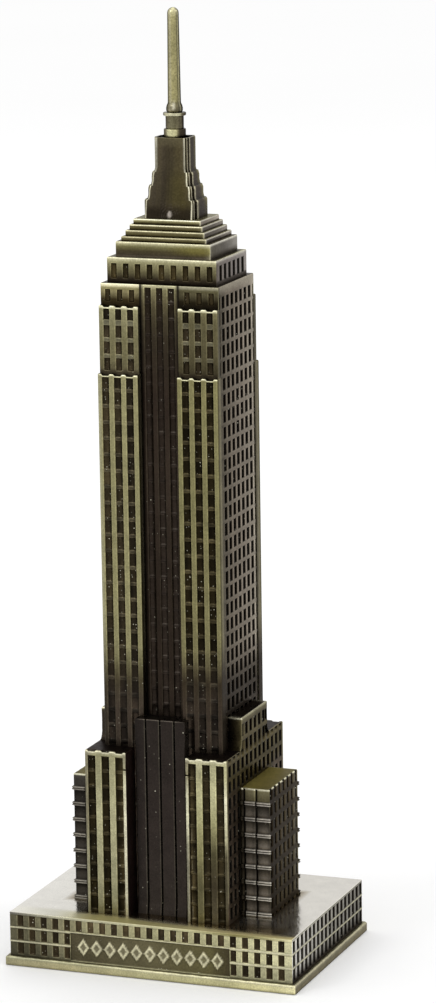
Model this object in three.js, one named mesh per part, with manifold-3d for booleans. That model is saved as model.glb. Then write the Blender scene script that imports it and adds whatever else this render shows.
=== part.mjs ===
// Desk model of an art-deco tower in antique brass, on a windowed plinth.
// Millimetres, +Z up, front towards -Y. The origin is the middle of the underside of the felt pad.
import * as THREE from "three";
import { mergeVertices } from "three/addons/utils/BufferGeometryUtils.js";
import Module from "manifold-3d";

const wasm = await Module();
wasm.setup();

// Clearances
const FIT = 0.1; // seam between castings that stand side by side
const RUNNING = 0.25; // radial clearance of a screw, rod or spigot in its bore
const OVERRUN = 1; // every cutter passes its face by this much

// Plinth
const PLINTH_WIDTH = 75.8;
const PLINTH_DEPTH = 53.6;
const DECK_TOP = 13.9;
const PANEL_THICKNESS = 2.2;
const DECK_THICKNESS = 1.4;
const DECK_RIM = 0.3; // thin edge of the deck that covers the side panels
const DECK_SEAM = 0.15; // shadow line between that edge and the side panels
const LIP_TOP = 2.5;
const LIP_PROUD = 1.05;
const PLINTH_WINDOW_WIDTH = 1.45;
const PLINTH_WINDOW_HEIGHT = 2.75;
const PLINTH_WINDOW_DEPTH = 0.4;
const PLINTH_COLUMN_PITCH = 3.18;
const PLINTH_SIDE_PITCH = 3;
const PLINTH_ROW_PITCH = 3.62;
const PLINTH_HEAD = 0.75; // plain strip above the top row of windows
const PLINTH_LONG_MARGIN = 1.2; // least plain strip beside the last window, front and back
const PLINTH_SIDE_MARGIN = 0.45; // the same on the left and right
const SPANDREL_SET = 0.1; // how far a spandrel's upper edge lies behind the piers
const NAME_BAND_COLUMNS = 13;
const NAME_BAND_DEPTH = 0.35;
const NAME_BAND_SILL = 0.3;
const NAME_BAND_HEAD = 0.35; // plain strip between the top windows and the band

// Felt pad, base fixings
const PAD_THICKNESS = 0.8;
const PAD_PROUD = 0.2;
const PAD_MARGIN = 2.6;
const PILLAR_DIAMETER = 5;
const PILLAR_INSET = 5.5; // from the plinth's inner faces to the middle of a pillar
const BASE_SCREW_DIAMETER = 2;
const BASE_SCREW_LENGTH = 7;
const BASE_SCREW_HEAD_DIAMETER = 3.8;
const BASE_SCREW_HEAD_HEIGHT = 1;

// Tower shaft
const TOWER_WIDTH = 31;
const TOWER_DEPTH = 25.16;
const ATTIC_TOP = 173.2;
const UPPER_STAGE_TOP = 167.8;
const UPPER_STAGE_PROUD = 1.22;
const UPPER_STAGE_SIDE = 0.12;
const LOWER_STAGE_TOP = 150.9;
const LOWER_STAGE_PROUD = 2.28;
const LOWER_STAGE_SIDE = 0.31;
const FRONT_WALL_THICKNESS = 2.4;
const SIDE_WALL_THICKNESS = 2.5;
const ATTIC_SKIN = 1; // thickness of the attic face where it wraps to the corner
const ATTIC_LAP = 1; // how far the attic face reaches down behind the upper stages
const BAY_WIDTH = 10.3;
const BAY_STRIP_WIDTH = 1.55;
const BAY_STRIP_PITCH = 3.02;
const BAY_STRIP_DEPTH = 0.9;
const BAY_HEAD = 0.6;
const FLOOR_PITCH = 4.06;

// Shaft windows
const SIDE_COLUMN_PITCH = 3.08;
const SIDE_WINDOW_WIDTH = 1.35;
const SIDE_WINDOW_HEIGHT = 2.75;
const SIDE_WINDOW_DEPTH = 0.7;
const SIDE_WINDOW_HEAD = 2.6;
const SIDE_MARGIN = 1;
const WING_COLUMN_PITCH = 3.15;
const WING_WINDOW_WIDTH = 1.4;
const WING_WINDOW_HEIGHT = 2.8;
const WING_WINDOW_DEPTH = 0.75;
const WING_WINDOW_HEAD = 0.9;
const WING_MARGIN = 0.8;
const WING_STRIP_WIDTH = 1.75;
const WING_STRIP_DEPTH = 0.8;
const WING_LINTEL = 0.75;
const RIB_HEAD_RISE = 0.35; // how far a rounded rib head stands over the lintels
const ATTIC_WINDOW_HEAD = 1.6;
const ATTIC_WINDOW_WIDTH = 1.25;

// Lower corner pavilions
const PAVILION_TOP = 56.2;
const PAVILION_HALF_WIDTH = 18.95;
const PAVILION_HALF_DEPTH = 20.75;
const PAVILION_INNER = 7.93;
const PAVILION_STRIP_WIDTH = 1.95;
const PAVILION_STRIP_PITCH = 3.72;
const PAVILION_STRIP_DEPTH = 0.9;
const PAVILION_LINTEL = 1.45;
const PAVILION_EDGE = 0.45; // least width of the outer rib
const PAVILION_HEAD_HEIGHT = 4.4; // height of the square head of the inner rib
const PAVILION_HEAD_INSET = 0.2;

// Upper side blocks, which stand between the pavilions
const SIDE_BLOCK_RISE = 8.2; // above the pavilions
const SIDE_BLOCK_TOP = PAVILION_TOP + SIDE_BLOCK_RISE;
const SIDE_BLOCK_HALF_WIDTH = 9.17;
const SIDE_BLOCK_FOOT_HALF_WIDTH = 10.78;
const BLOCK_WINDOW_HEIGHT = 2.7;
const BLOCK_WINDOW_HEAD = 1.8;
const BLOCK_MARGIN = 0.55;

// Low side wings
const WING_DROP = 9.46; // the wing's roof lies this far below the pavilions' tops
const WING_TOP = PAVILION_TOP - WING_DROP;
const WING_OUTER = 26.44;
const WING_HALF_DEPTH = 10.5;
const LEDGE_PROUD = 0.6;
const LEDGE_HEIGHT = 0.95;
const LEDGE_DROP = 3.7; // from the wing's roof to the middle of its first ledge
const WING_WINDOW_FOOT = 1; // plain strip above the deck
const WING_GROOVE = 0.3;
const WING_PANEL = 3.6; // width of the outer front panel, from the corner to the groove

// Lower centre bays
const CENTRE_BAY_HALF_WIDTH = 6.65;
const CENTRE_BAY_THICKNESS = 2.4;
const CENTRE_GROOVE_WIDTH = 0.4;
const CENTRE_GROOVE_DEPTH = 0.5;
const CENTRE_GROOVE_PITCH = 3.8;
const CENTRE_FOOT_HEIGHT = 3.6;
const CENTRE_FOOT_PROUD = 0.5;

// Crown
const CROWN_BAND_WIDTH = 28.8;
const CROWN_BAND_DEPTH = 21.5;
const CROWN_BAND_HEIGHT = 6.2;
const CROWN_WINDOW_WIDTH = 1.35;
const CROWN_WINDOW_HEIGHT = 3.4;
const CROWN_WINDOW_HEAD = 1.6;
const CROWN_WINDOW_DEPTH = 0.7;
const CROWN_FRONT_PITCH = 3.15;
const CROWN_SIDE_PITCH = 3.08;
const CROWN_MARGIN = 0.7;
const SPIGOT_HEIGHT = 3;
const SPIGOT_WALL = 1.2; // clearance of the crown's spigot inside the walls
const CROWN_BLOCK_WIDTH = 24.9;
const CROWN_BLOCK_DEPTH = 19.3;
const CROWN_BLOCK_HEIGHT = 3.8;
const CROWN_STEP_COUNT = 4;
const CROWN_STEP_HEIGHT = 1.34;
const CROWN_STEPS_WIDTH = 22.4;
const CROWN_STEPS_DEPTH = 18;
const CROWN_STEP_RUN_X = 0.78;
const CROWN_STEP_RUN_Y = 0.8;

// Mast: a pylon in four tiers with a stepped plate on each face
const MAST_FOOT_HEIGHT = 4.6;
const MAST_TIER_HEIGHT = 3.37;
const MAST_SHAFT_HEIGHT = 8.45;
const MAST_CORE_WIDTH = 8.3;
const MAST_CORE_DEPTH = 5.7;
const MAST_STEP = 0.78; // how far each lower tier stands out
const MAST_LAP = 0.7; // how far the plates lap down over the core's steps
const MAST_FRONT_PLATE_WIDTH = 7.8;
const MAST_SIDE_PLATE_WIDTH = 4;
const MAST_SIDE_PLATE_STEP = 0.45;
const MAST_FRONT_PLATE_THICKNESS = 0.75;
const MAST_SIDE_PLATE_THICKNESS = 0.52;

// Turned pieces of the mast head
const COLLAR_DIAMETER = 5.5;
const COLLAR_HEIGHT = 2;
const DRUM_DIAMETER = 4.5;
const DRUM_HEIGHT = 3.05;
const GALLERY_DIAMETER = 5.7;
const GALLERY_HEIGHT = 0.75;
const KNOB_DIAMETER = 4.15;
const KNOB_HEIGHT = 2.3;
const SPIRE_FOOT_DIAMETER = 3.3;
const SPIRE_TOP_DIAMETER = 2.85;
const SPIRE_HEIGHT = 23.55;
const SPIRE_SPIGOT_DIAMETER = 1.8;
const SPIRE_SPIGOT_DEPTH = 2.4; // how far the spigot reaches into the mast core

// Tie rod
const ROD_DIAMETER = 4;
const ROD_ENGAGEMENT = 5; // thread length inside the mast core
const ROD_END = 1.2; // rod left below the nut
const NUT_WIDTH = 7;
const NUT_HEIGHT = 3;
const WASHER_DIAMETER = 10;
const WASHER_THICKNESS = 0.8;

// Sides of a round piece
const ROUND_SIDES = 16;
const SMALL_SIDES = 8;
const HEX_SIDES = 6;
const ARC_STEPS = 3;
const DOME_STEPS = 4;

const QUARTER = Math.PI / 2;
const QUARTER_TURN = 90; // degrees
const WELD = 1e-5;

const BRASS = { color: 0x8c8358, roughness: 0.42, metalness: 0.9 };
const DARK_BRASS = { color: 0x5f573a, roughness: 0.45, metalness: 0.9 };
const STEEL = { color: 0x8a8d90, roughness: 0.35, metalness: 1 };
const FELT = { color: 0x20241f, roughness: 0.95, metalness: 0 };

const tower = new THREE.Group();
tower.name = "landmark_model";

// A closed geometry as a solid, and a solid back as a geometry.
function solid(geometry) {
  const bare = geometry.index ? geometry : geometry.clone();
  bare.deleteAttribute("normal");
  bare.deleteAttribute("uv");
  const merged = mergeVertices(bare, WELD);
  return new wasm.Manifold(
    new wasm.Mesh({
      numProp: 3,
      vertProperties: merged.attributes.position.array,
      triVerts: new Uint32Array(merged.index.array),
    }),
  );
}

function geometryOf(body) {
  const mesh = body.getMesh();
  const geometry = new THREE.BufferGeometry();
  const points = new THREE.BufferAttribute(mesh.vertProperties, 3);
  geometry.setAttribute("position", points);
  geometry.setIndex(new THREE.BufferAttribute(mesh.triVerts, 1));
  return geometry;
}

// A named piece, added to its parent group.
function piece(name, body, finish, parent = tower) {
  const material = new THREE.MeshStandardMaterial(finish);
  const mesh = new THREE.Mesh(geometryOf(body), material);
  mesh.name = name;
  parent.add(mesh);
  return mesh;
}

// A block between two corners.
function block(x0, x1, y0, y1, z0, z1) {
  const geometry = new THREE.BoxGeometry(x1 - x0, y1 - y0, z1 - z0);
  geometry.translate((x0 + x1) / 2, (y0 + y1) / 2, (z0 + z1) / 2);
  return solid(geometry);
}

// A closed outline through the given points.
function outline(points) {
  return new THREE.Shape(points.map(([u, v]) => new THREE.Vector2(u, v)));
}

function rectangle(u0, u1, v0, v1) {
  return outline([
    [u0, v0],
    [u1, v0],
    [u1, v1],
    [u0, v1],
  ]);
}

// An outline, or a list of them, extruded from one level to another along its own normal.
function extrude(shapes, from, to) {
  const geometry = new THREE.ExtrudeGeometry(shapes, {
    depth: to - from,
    bevelEnabled: false,
    curveSegments: ARC_STEPS,
  });
  geometry.translate(0, 0, from);
  return solid(geometry);
}

// A turned piece from a closed profile of [radius, height] points.
function turn(profile, sides = ROUND_SIDES) {
  const lathe = (outline) => {
    const points = outline.map(([r, h]) => new THREE.Vector2(r, h));
    return solid(new THREE.LatheGeometry(points, sides).rotateX(QUARTER));
  };
  const body = lathe(profile);
  return body.volume() < 0 ? lathe([...profile].reverse()) : body;
}

function disc(diameter, bottom, top, sides = ROUND_SIDES) {
  const radius = diameter / 2;
  return turn(
    [
      [0, bottom],
      [radius, bottom],
      [radius, top],
      [0, top],
    ],
    sides,
  );
}

function ring(outer, inner, bottom, top, sides = ROUND_SIDES) {
  return disc(outer, bottom, top, sides).subtract(
    disc(inner, bottom - OVERRUN, top + OVERRUN, sides),
  );
}

// Middles of as many evenly pitched openings as a field takes, centred in it.
function centred(from, to, pitch, width, margin) {
  const room = to - from - 2 * margin + (pitch - width);
  const count = Math.max(1, Math.floor(room / pitch));
  const first = (from + to) / 2 - ((count - 1) / 2) * pitch;
  return Array.from({ length: count }, (_, i) => first + i * pitch);
}

// Tops of as many rows as fit between a first top and a lowest sill.
function rowsDown(firstTop, lowest, pitch, height) {
  const count = Math.floor((firstTop - lowest + pitch - height) / pitch);
  return Array.from({ length: Math.max(count, 0) }, (_, i) => firstTop - i * pitch);
}

// Openings of one height at the given columns, as outlines.
function openings(columns, top, bottom, width) {
  return columns.map((u) => rectangle(u - width / 2, u + width / 2, bottom, top));
}

// A side profile of [out, up] points, extruded across the plate from u0 to u1.
function across(points, u0, u1) {
  const settings = { depth: u1 - u0, bevelEnabled: false };
  const geometry = new THREE.ExtrudeGeometry(outline(points), settings);
  geometry.rotateY(-QUARTER);
  geometry.translate(u1, 0, 0);
  return solid(geometry);
}

// What is sunk for columns of windows one above another. Each window's floor runs in to its
// sill, and the spandrel under it runs out again to the head of the next window.
function windowColumns(columns, tops, width, height, floor, face) {
  const sill = tops[tops.length - 1] - height;
  const profile = [
    [face + OVERRUN, sill],
    [face + OVERRUN, tops[0]],
    ...tops.flatMap((top) => [
      [face - SPANDREL_SET, top],
      [floor, top - height],
    ]),
  ];
  const column = across(profile, -width / 2, width / 2);
  return columns
    .map((u) => column.translate([u, 0, 0]))
    .reduce((all, next) => all.add(next));
}

// An opening with a low rounded head that ends at the given top, drawn wider than the windows
// that it rounds off by a quarter of a pier on each side.
function archedOpening(middle, top, bottom, width, pier) {
  const radius = width / 2 + pier / 4;
  const shape = new THREE.Shape();
  shape.moveTo(middle - radius, bottom);
  shape.lineTo(middle + radius, bottom);
  shape.lineTo(middle + radius, top - radius);
  shape.absarc(middle, top - radius, radius, 0, Math.PI);
  return shape;
}

// A relief plate: a backing with a raised layer over it, in which openings are sunk. The outlines
// lie in the plate's own plane, u across and v up, and w is the distance out from the axis.
function relief(backing, raised, sunk, inner, floor, face) {
  const plate = extrude(backing, inner, floor).add(extrude(raised, floor, face));
  return plate.subtract(extrude(sunk, floor, face + OVERRUN));
}

// The four sides as groups, in which a wall stands upright and faces outwards.
const sides = ["front", "right", "back", "left"].map((name, i) => {
  const group = new THREE.Group();
  group.name = name + "_side";
  group.rotation.z = i * QUARTER;
  tower.add(group);
  return group;
});
const [frontSide, rightSide, backSide, leftSide] = sides;

// A wall drawn in its plane is stood up inside its side group.
function wall(name, body, finish, side) {
  const mesh = piece(name, body, finish, side);
  mesh.rotation.x = QUARTER;
  return mesh;
}

// Plinth

const HALF_WIDTH = PLINTH_WIDTH / 2;
const HALF_DEPTH = PLINTH_DEPTH / 2;
const DECK_BOTTOM = DECK_TOP - DECK_THICKNESS;
const PLATE_BOTTOM = PAD_PROUD;
const PAD_RECESS_TOP = PAD_THICKNESS;

// A prism that mitres both ends of a plinth panel, seen from above.
function mitre(half, thickness, distance, height) {
  const outer = half - FIT / 2;
  const shape = outline([
    [-outer + thickness, distance - thickness],
    [outer - thickness, distance - thickness],
    [outer + OVERRUN, distance + OVERRUN],
    [-outer - OVERRUN, distance + OVERRUN],
  ]);
  const prism = new THREE.ExtrudeGeometry(shape, { depth: height, bevelEnabled: false });
  prism.rotateX(QUARTER);
  prism.translate(0, height, 0);
  return solid(prism);
}

function plinthRows() {
  const first = DECK_TOP - PLINTH_HEAD;
  return rowsDown(first, LIP_TOP, PLINTH_ROW_PITCH, PLINTH_WINDOW_HEIGHT);
}

// A relief panel of the plinth: half is half its outer length, distance how far out it stands.
function plinthPanel(half, distance, top, windows) {
  const inner = distance - PANEL_THICKNESS;
  const plate = extrude(rectangle(-half, half, LIP_TOP, top), inner, distance);
  return plate
    .subtract(windows)
    .intersect(mitre(half, PANEL_THICKNESS, distance, DECK_TOP + OVERRUN));
}

function plinthColumns(half, pitch, margin) {
  return centred(-half, half, pitch, PLINTH_WINDOW_WIDTH, margin);
}

function plinthWindows(columns, rows, distance) {
  const size = [PLINTH_WINDOW_WIDTH, PLINTH_WINDOW_HEIGHT];
  return windowColumns(columns, rows, ...size, distance - PLINTH_WINDOW_DEPTH, distance);
}

// The long panels: over the name band only the top row of windows is open.
function longPanelWindows() {
  const columns = plinthColumns(HALF_WIDTH, PLINTH_COLUMN_PITCH, PLINTH_LONG_MARGIN);
  const spare = (columns.length - NAME_BAND_COLUMNS) / 2;
  const overBand = (u, i) => i >= spare && i < columns.length - spare;
  const rows = plinthRows();
  const beside = columns.filter((u, i) => !overBand(u, i));
  return plinthWindows(beside, rows, HALF_DEPTH).add(
    plinthWindows(columns.filter(overBand), rows.slice(0, 1), HALF_DEPTH),
  );
}

// The shallow bare band that takes the place of the two lower window rows in the middle.
function nameBand() {
  const pier = PLINTH_COLUMN_PITCH - PLINTH_WINDOW_WIDTH;
  const half = (NAME_BAND_COLUMNS * PLINTH_COLUMN_PITCH) / 2 + pier / 4;
  const head = DECK_TOP - PLINTH_HEAD - PLINTH_WINDOW_HEIGHT - NAME_BAND_HEAD;
  const field = rectangle(-half, half, LIP_TOP + NAME_BAND_SILL, head);
  return extrude(field, HALF_DEPTH - NAME_BAND_DEPTH, HALF_DEPTH + OVERRUN);
}

function plinthPanels() {
  const long = plinthPanel(HALF_WIDTH, HALF_DEPTH, DECK_TOP, longPanelWindows());
  wall("plinth_front_panel", long.subtract(nameBand()), BRASS, frontSide);
  wall("plinth_back_panel", long.subtract(nameBand()), BRASS, backSide);
  const top = DECK_TOP - DECK_RIM - DECK_SEAM;
  const columns = plinthColumns(HALF_DEPTH, PLINTH_SIDE_PITCH, PLINTH_SIDE_MARGIN);
  const windows = plinthWindows(columns, plinthRows(), HALF_WIDTH);
  const short = plinthPanel(HALF_DEPTH, HALF_WIDTH, top, windows);
  wall("plinth_right_panel", short, BRASS, rightSide);
  wall("plinth_left_panel", short, BRASS, leftSide);
}

const PILLAR_X = HALF_WIDTH - PANEL_THICKNESS - PILLAR_INSET;
const PILLAR_Y = HALF_DEPTH - PANEL_THICKNESS - PILLAR_INSET;
const CORNERS = [
  ["front_left", -1, -1],
  ["front_right", 1, -1],
  ["back_left", -1, 1],
  ["back_right", 1, 1],
];

const SHAFT_HALF_WIDTH = TOWER_WIDTH / 2 + LOWER_STAGE_SIDE;
const SHAFT_HALF_DEPTH = TOWER_DEPTH / 2 + LOWER_STAGE_PROUD;

function deckPlate() {
  const x = HALF_WIDTH - PANEL_THICKNESS - FIT;
  const y = HALF_DEPTH - PANEL_THICKNESS - FIT;
  const rimX = HALF_WIDTH;
  const rimY = HALF_DEPTH - FIT;
  const rim = outline([
    [-x, -y],
    [x, -y],
    [rimX, -rimY],
    [rimX, rimY],
    [x, y],
    [-x, y],
    [-rimX, rimY],
    [-rimX, -rimY],
  ]);
  const plate = block(-x, x, -y, y, DECK_BOTTOM, DECK_TOP)
    .add(extrude(rim, DECK_TOP - DECK_RIM, DECK_TOP))
    .subtract(rodBore(DECK_BOTTOM - OVERRUN, DECK_TOP + OVERRUN));
  piece("deck_plate", plate, BRASS);
}

// The bottom plate carries the lip, and the felt pad lies in a recess under it.
function bottomPlate() {
  const x = HALF_WIDTH + LIP_PROUD;
  const y = HALF_DEPTH + LIP_PROUD;
  const padX = x - PAD_MARGIN;
  const padY = y - PAD_MARGIN;
  let plate = block(-x, x, -y, y, PLATE_BOTTOM, LIP_TOP);
  const recess = [-padX - FIT, padX + FIT, -padY - FIT, padY + FIT];
  plate = plate.subtract(block(...recess, PLATE_BOTTOM - OVERRUN, PAD_RECESS_TOP));
  const seat = PAD_RECESS_TOP + BASE_SCREW_HEAD_HEIGHT;
  const bore = (diameter, from, to) =>
    disc(diameter + 2 * RUNNING, from, to, SMALL_SIDES);
  for (const [, sx, sy] of CORNERS) {
    const place = [sx * PILLAR_X, sy * PILLAR_Y, 0];
    const hole = bore(BASE_SCREW_DIAMETER, PLATE_BOTTOM, LIP_TOP + OVERRUN);
    const sink = bore(BASE_SCREW_HEAD_DIAMETER, PLATE_BOTTOM, seat);
    plate = plate.subtract(hole.add(sink).translate(place));
  }
  piece("bottom_plate", plate, BRASS);
  piece("felt_pad", block(-padX, padX, -padY, padY, 0, PAD_THICKNESS), FELT);
}

// A base screw, with its head below and its shank up.
function baseScrew(seat, tip) {
  const head = BASE_SCREW_HEAD_DIAMETER / 2;
  const shank = BASE_SCREW_DIAMETER / 2;
  return turn(
    [
      [0, seat - BASE_SCREW_HEAD_HEIGHT],
      [head, seat - BASE_SCREW_HEAD_HEIGHT],
      [head, seat],
      [shank, seat],
      [shank, tip],
      [0, tip],
    ],
    SMALL_SIDES,
  );
}

function baseFixings() {
  const seat = PAD_RECESS_TOP + BASE_SCREW_HEAD_HEIGHT;
  const tip = seat + BASE_SCREW_LENGTH;
  for (const [name, sx, sy] of CORNERS) {
    const place = [sx * PILLAR_X, sy * PILLAR_Y, 0];
    const well = disc(BASE_SCREW_DIAMETER + 2 * RUNNING, 0, tip + FIT, SMALL_SIDES);
    const pillar = disc(PILLAR_DIAMETER, LIP_TOP, DECK_BOTTOM, SMALL_SIDES).subtract(well);
    piece("plinth_pillar_" + name, pillar.translate(place), DARK_BRASS);
    piece("base_screw_" + name, baseScrew(seat, tip).translate(place), STEEL);
  }
}

// Tower shaft

const FACE = TOWER_DEPTH / 2; // attic plane of the front and back
const FLANK = TOWER_WIDTH / 2; // plane of the left and right walls
const ATTIC_BOTTOM = UPPER_STAGE_TOP - ATTIC_LAP;

// Half-round rib heads along the top edge of a ribbed face, from right to left.
function ribHeads(shape, ribs, top) {
  for (const [from, to] of [...ribs].reverse()) {
    shape.lineTo(to, top - RIB_HEAD_RISE);
    shape.quadraticCurveTo(to, top, (from + to) / 2, top);
    shape.quadraticCurveTo(from, top, from, top - RIB_HEAD_RISE);
  }
}

// A ribbed face: strips are sunk between ribs whose heads stand over the lintels.
function ribbedFace(left, right, bottom, top, strips, stripWidth) {
  const edges = [left, ...strips.flatMap((u) => [u - stripWidth / 2, u + stripWidth / 2]), right];
  const ribs = [];
  for (let i = 0; i < edges.length; i += 2) ribs.push([edges[i], edges[i + 1]]);
  const shape = new THREE.Shape();
  shape.moveTo(left, bottom);
  shape.lineTo(right, bottom);
  ribHeads(shape, ribs, top);
  return shape;
}

// One of the two projecting stages beside the bay, drawn on the right of it.
function lowerStage() {
  const inner = BAY_WIDTH / 2;
  const outer = FLANK + LOWER_STAGE_SIDE;
  const face = FACE + LOWER_STAGE_PROUD;
  const columns = centred(inner, outer, WING_COLUMN_PITCH, WING_STRIP_WIDTH, WING_MARGIN);
  const front = ribbedFace(inner, outer, DECK_TOP, LOWER_STAGE_TOP, columns, WING_STRIP_WIDTH);
  const bottom = PAVILION_TOP - FLOOR_PITCH;
  const top = LOWER_STAGE_TOP - WING_LINTEL;
  const strips = openings(columns, top, bottom, WING_STRIP_WIDTH);
  const backing = rectangle(inner, outer, DECK_TOP, LOWER_STAGE_TOP - RIB_HEAD_RISE);
  return relief(backing, front, strips, FACE, face - WING_STRIP_DEPTH, face);
}

function upperStage() {
  const inner = BAY_WIDTH / 2;
  const outer = FLANK + UPPER_STAGE_SIDE;
  const face = FACE + UPPER_STAGE_PROUD;
  const columns = centred(inner, outer, WING_COLUMN_PITCH, WING_WINDOW_WIDTH, WING_MARGIN);
  const first = UPPER_STAGE_TOP - WING_WINDOW_HEAD;
  const tops = rowsDown(first, LOWER_STAGE_TOP, FLOOR_PITCH, WING_WINDOW_HEIGHT);
  const crown = first + WING_WINDOW_HEAD / 2;
  const pier = WING_COLUMN_PITCH - WING_WINDOW_WIDTH;
  const head = [crown, LOWER_STAGE_TOP, WING_WINDOW_WIDTH, pier];
  const arched = columns.map((u) => archedOpening(u, ...head));
  const bottom = LOWER_STAGE_TOP - FLOOR_PITCH;
  const floor = face - WING_WINDOW_DEPTH;
  const size = [WING_WINDOW_WIDTH, WING_WINDOW_HEIGHT];
  const heads = [crown, ...tops.slice(1)];
  const windows = windowColumns(columns, heads, ...size, floor, face).intersect(
    extrude(arched, FACE, face + OVERRUN * 2),
  );
  return extrude(rectangle(inner, outer, bottom, UPPER_STAGE_TOP), FACE, face).subtract(windows);
}

// The recessed bay: three sunk strips between two ribs, up the middle of the wall.
function bayStrips() {
  const half = BAY_WIDTH / 2;
  const columns = centred(-half, half, BAY_STRIP_PITCH, BAY_STRIP_WIDTH, FIT);
  const bottom = SIDE_BLOCK_TOP - FLOOR_PITCH;
  const top = ATTIC_TOP - BAY_HEAD;
  return openings(columns, top, bottom, BAY_STRIP_WIDTH);
}

function atticWindows(side) {
  const top = ATTIC_TOP - ATTIC_WINDOW_HEAD;
  const sill = UPPER_STAGE_TOP + WING_WINDOW_HEAD;
  const size = [ATTIC_WINDOW_WIDTH, WING_MARGIN];
  const columns = centred(BAY_WIDTH / 2, FLANK, WING_COLUMN_PITCH, ...size);
  return openings(columns.map((u) => side * u), top, sill, ATTIC_WINDOW_WIDTH);
}

// The front and back walls: a spine between the side walls, an attic face that wraps to the
// corners, and the two stages on each side of the bay.
function longWall() {
  const spineHalf = FLANK - SIDE_WALL_THICKNESS - FIT;
  const skin = FACE - ATTIC_SKIN;
  const inner = FACE - FRONT_WALL_THICKNESS;
  const spine = rectangle(-spineHalf, spineHalf, DECK_TOP, ATTIC_TOP);
  const attic = rectangle(-FLANK, FLANK, ATTIC_BOTTOM, ATTIC_TOP);
  const holes = [...bayStrips(), ...atticWindows(1), ...atticWindows(-1)];
  const stages = lowerStage().add(upperStage());
  return extrude(spine, inner, FACE)
    .add(extrude(attic, skin, FACE))
    .subtract(extrude(holes, FACE - BAY_STRIP_DEPTH, FACE + OVERRUN))
    .add(stages)
    .add(stages.mirror([1, 0, 0]));
}

// The left and right walls: a grid of small windows, with a narrow rebate down each edge.
function sideWall() {
  const inner = FLANK - SIDE_WALL_THICKNESS;
  const floor = FLANK - SIDE_WINDOW_DEPTH;
  const edge = FACE - FIT;
  const narrow = FACE - ATTIC_SKIN - FIT;
  const shoulder = ATTIC_BOTTOM - FIT;
  const backing = outline([
    [-edge, DECK_TOP],
    [edge, DECK_TOP],
    [edge, shoulder],
    [narrow, shoulder],
    [narrow, ATTIC_TOP],
    [-narrow, ATTIC_TOP],
    [-narrow, shoulder],
    [-edge, shoulder],
  ]);
  const grid = rectangle(-narrow, narrow, DECK_TOP, ATTIC_TOP);
  const columns = centred(-narrow, narrow, SIDE_COLUMN_PITCH, SIDE_WINDOW_WIDTH, SIDE_MARGIN);
  const first = ATTIC_TOP - SIDE_WINDOW_HEAD;
  const tops = rowsDown(first, SIDE_BLOCK_TOP, FLOOR_PITCH, SIDE_WINDOW_HEIGHT);
  const size = [SIDE_WINDOW_WIDTH, SIDE_WINDOW_HEIGHT];
  return extrude(backing, inner, floor)
    .add(extrude(grid, floor, FLANK))
    .subtract(windowColumns(columns, tops, ...size, floor, FLANK));
}

function shaft() {
  wall("front_wall", longWall(), BRASS, frontSide);
  wall("back_wall", longWall(), BRASS, backSide);
  wall("right_wall", sideWall(), DARK_BRASS, rightSide);
  wall("left_wall", sideWall(), DARK_BRASS, leftSide);
}

// Lower stages

// The lower bay stands in front of the recess: ribs parted by narrow grooves, on a low foot.
function centreBay() {
  const back = SHAFT_HALF_DEPTH + FIT;
  const face = back + CENTRE_BAY_THICKNESS;
  const half = CENTRE_BAY_HALF_WIDTH;
  let bay = extrude(rectangle(-half, half, DECK_TOP, SIDE_BLOCK_TOP), back, face);
  const grooves = centred(-half, half, CENTRE_GROOVE_PITCH, CENTRE_GROOVE_WIDTH, PAVILION_EDGE);
  const foot = DECK_TOP + CENTRE_FOOT_HEIGHT;
  for (const u of grooves) {
    const left = u - CENTRE_GROOVE_WIDTH / 2;
    const groove = rectangle(left, left + CENTRE_GROOVE_WIDTH, foot, SIDE_BLOCK_TOP + OVERRUN);
    bay = bay.subtract(extrude(groove, face - CENTRE_GROOVE_DEPTH, face + OVERRUN));
  }
  // A sloping foot, drawn as a side profile and extruded across.
  const profile = [
    [face, DECK_TOP],
    [face + CENTRE_FOOT_PROUD, DECK_TOP],
    [face + CENTRE_FOOT_PROUD, foot - CENTRE_FOOT_PROUD * 2],
    [face, foot],
  ];
  return bay.add(across(profile, -half, half));
}

// A corner pavilion, drawn at the front right: an L in plan that wraps the shaft's corner.
function pavilion() {
  const backFace = -SHAFT_HALF_DEPTH - FIT;
  const flank = SHAFT_HALF_WIDTH + FIT;
  const blockFace = -SIDE_BLOCK_FOOT_HALF_WIDTH - FIT;
  const plan = outline([
    [PAVILION_INNER, -PAVILION_HALF_DEPTH],
    [PAVILION_HALF_WIDTH, -PAVILION_HALF_DEPTH],
    [PAVILION_HALF_WIDTH, blockFace],
    [flank, blockFace],
    [flank, backFace],
    [PAVILION_INNER, backFace],
  ]);
  const strips = upright(pavilionFront());
  const flankStrips = upright(pavilionFlank()).rotate([0, 0, QUARTER_TURN]);
  const body = extrude(plan, DECK_TOP, PAVILION_TOP).subtract(strips).subtract(flankStrips);
  return body.subtract(pavilionHead());
}

// Turns a solid from a plate's own plane to the front of the tower.
function upright(body) {
  return body.rotate([QUARTER_TURN, 0, 0]);
}

function pavilionColumns() {
  const field = [PAVILION_INNER, PAVILION_HALF_WIDTH];
  return centred(...field, PAVILION_STRIP_PITCH, PAVILION_STRIP_WIDTH, PAVILION_EDGE);
}

// What is sunk in the pavilion's front: three dark strips from the deck up to the lintels.
function pavilionFront() {
  const face = PAVILION_HALF_DEPTH;
  const top = PAVILION_TOP - PAVILION_LINTEL;
  const bottom = DECK_TOP + WING_WINDOW_FOOT;
  const strips = openings(pavilionColumns(), top, bottom, PAVILION_STRIP_WIDTH);
  return extrude(strips, face - PAVILION_STRIP_DEPTH, face + OVERRUN);
}

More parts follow.
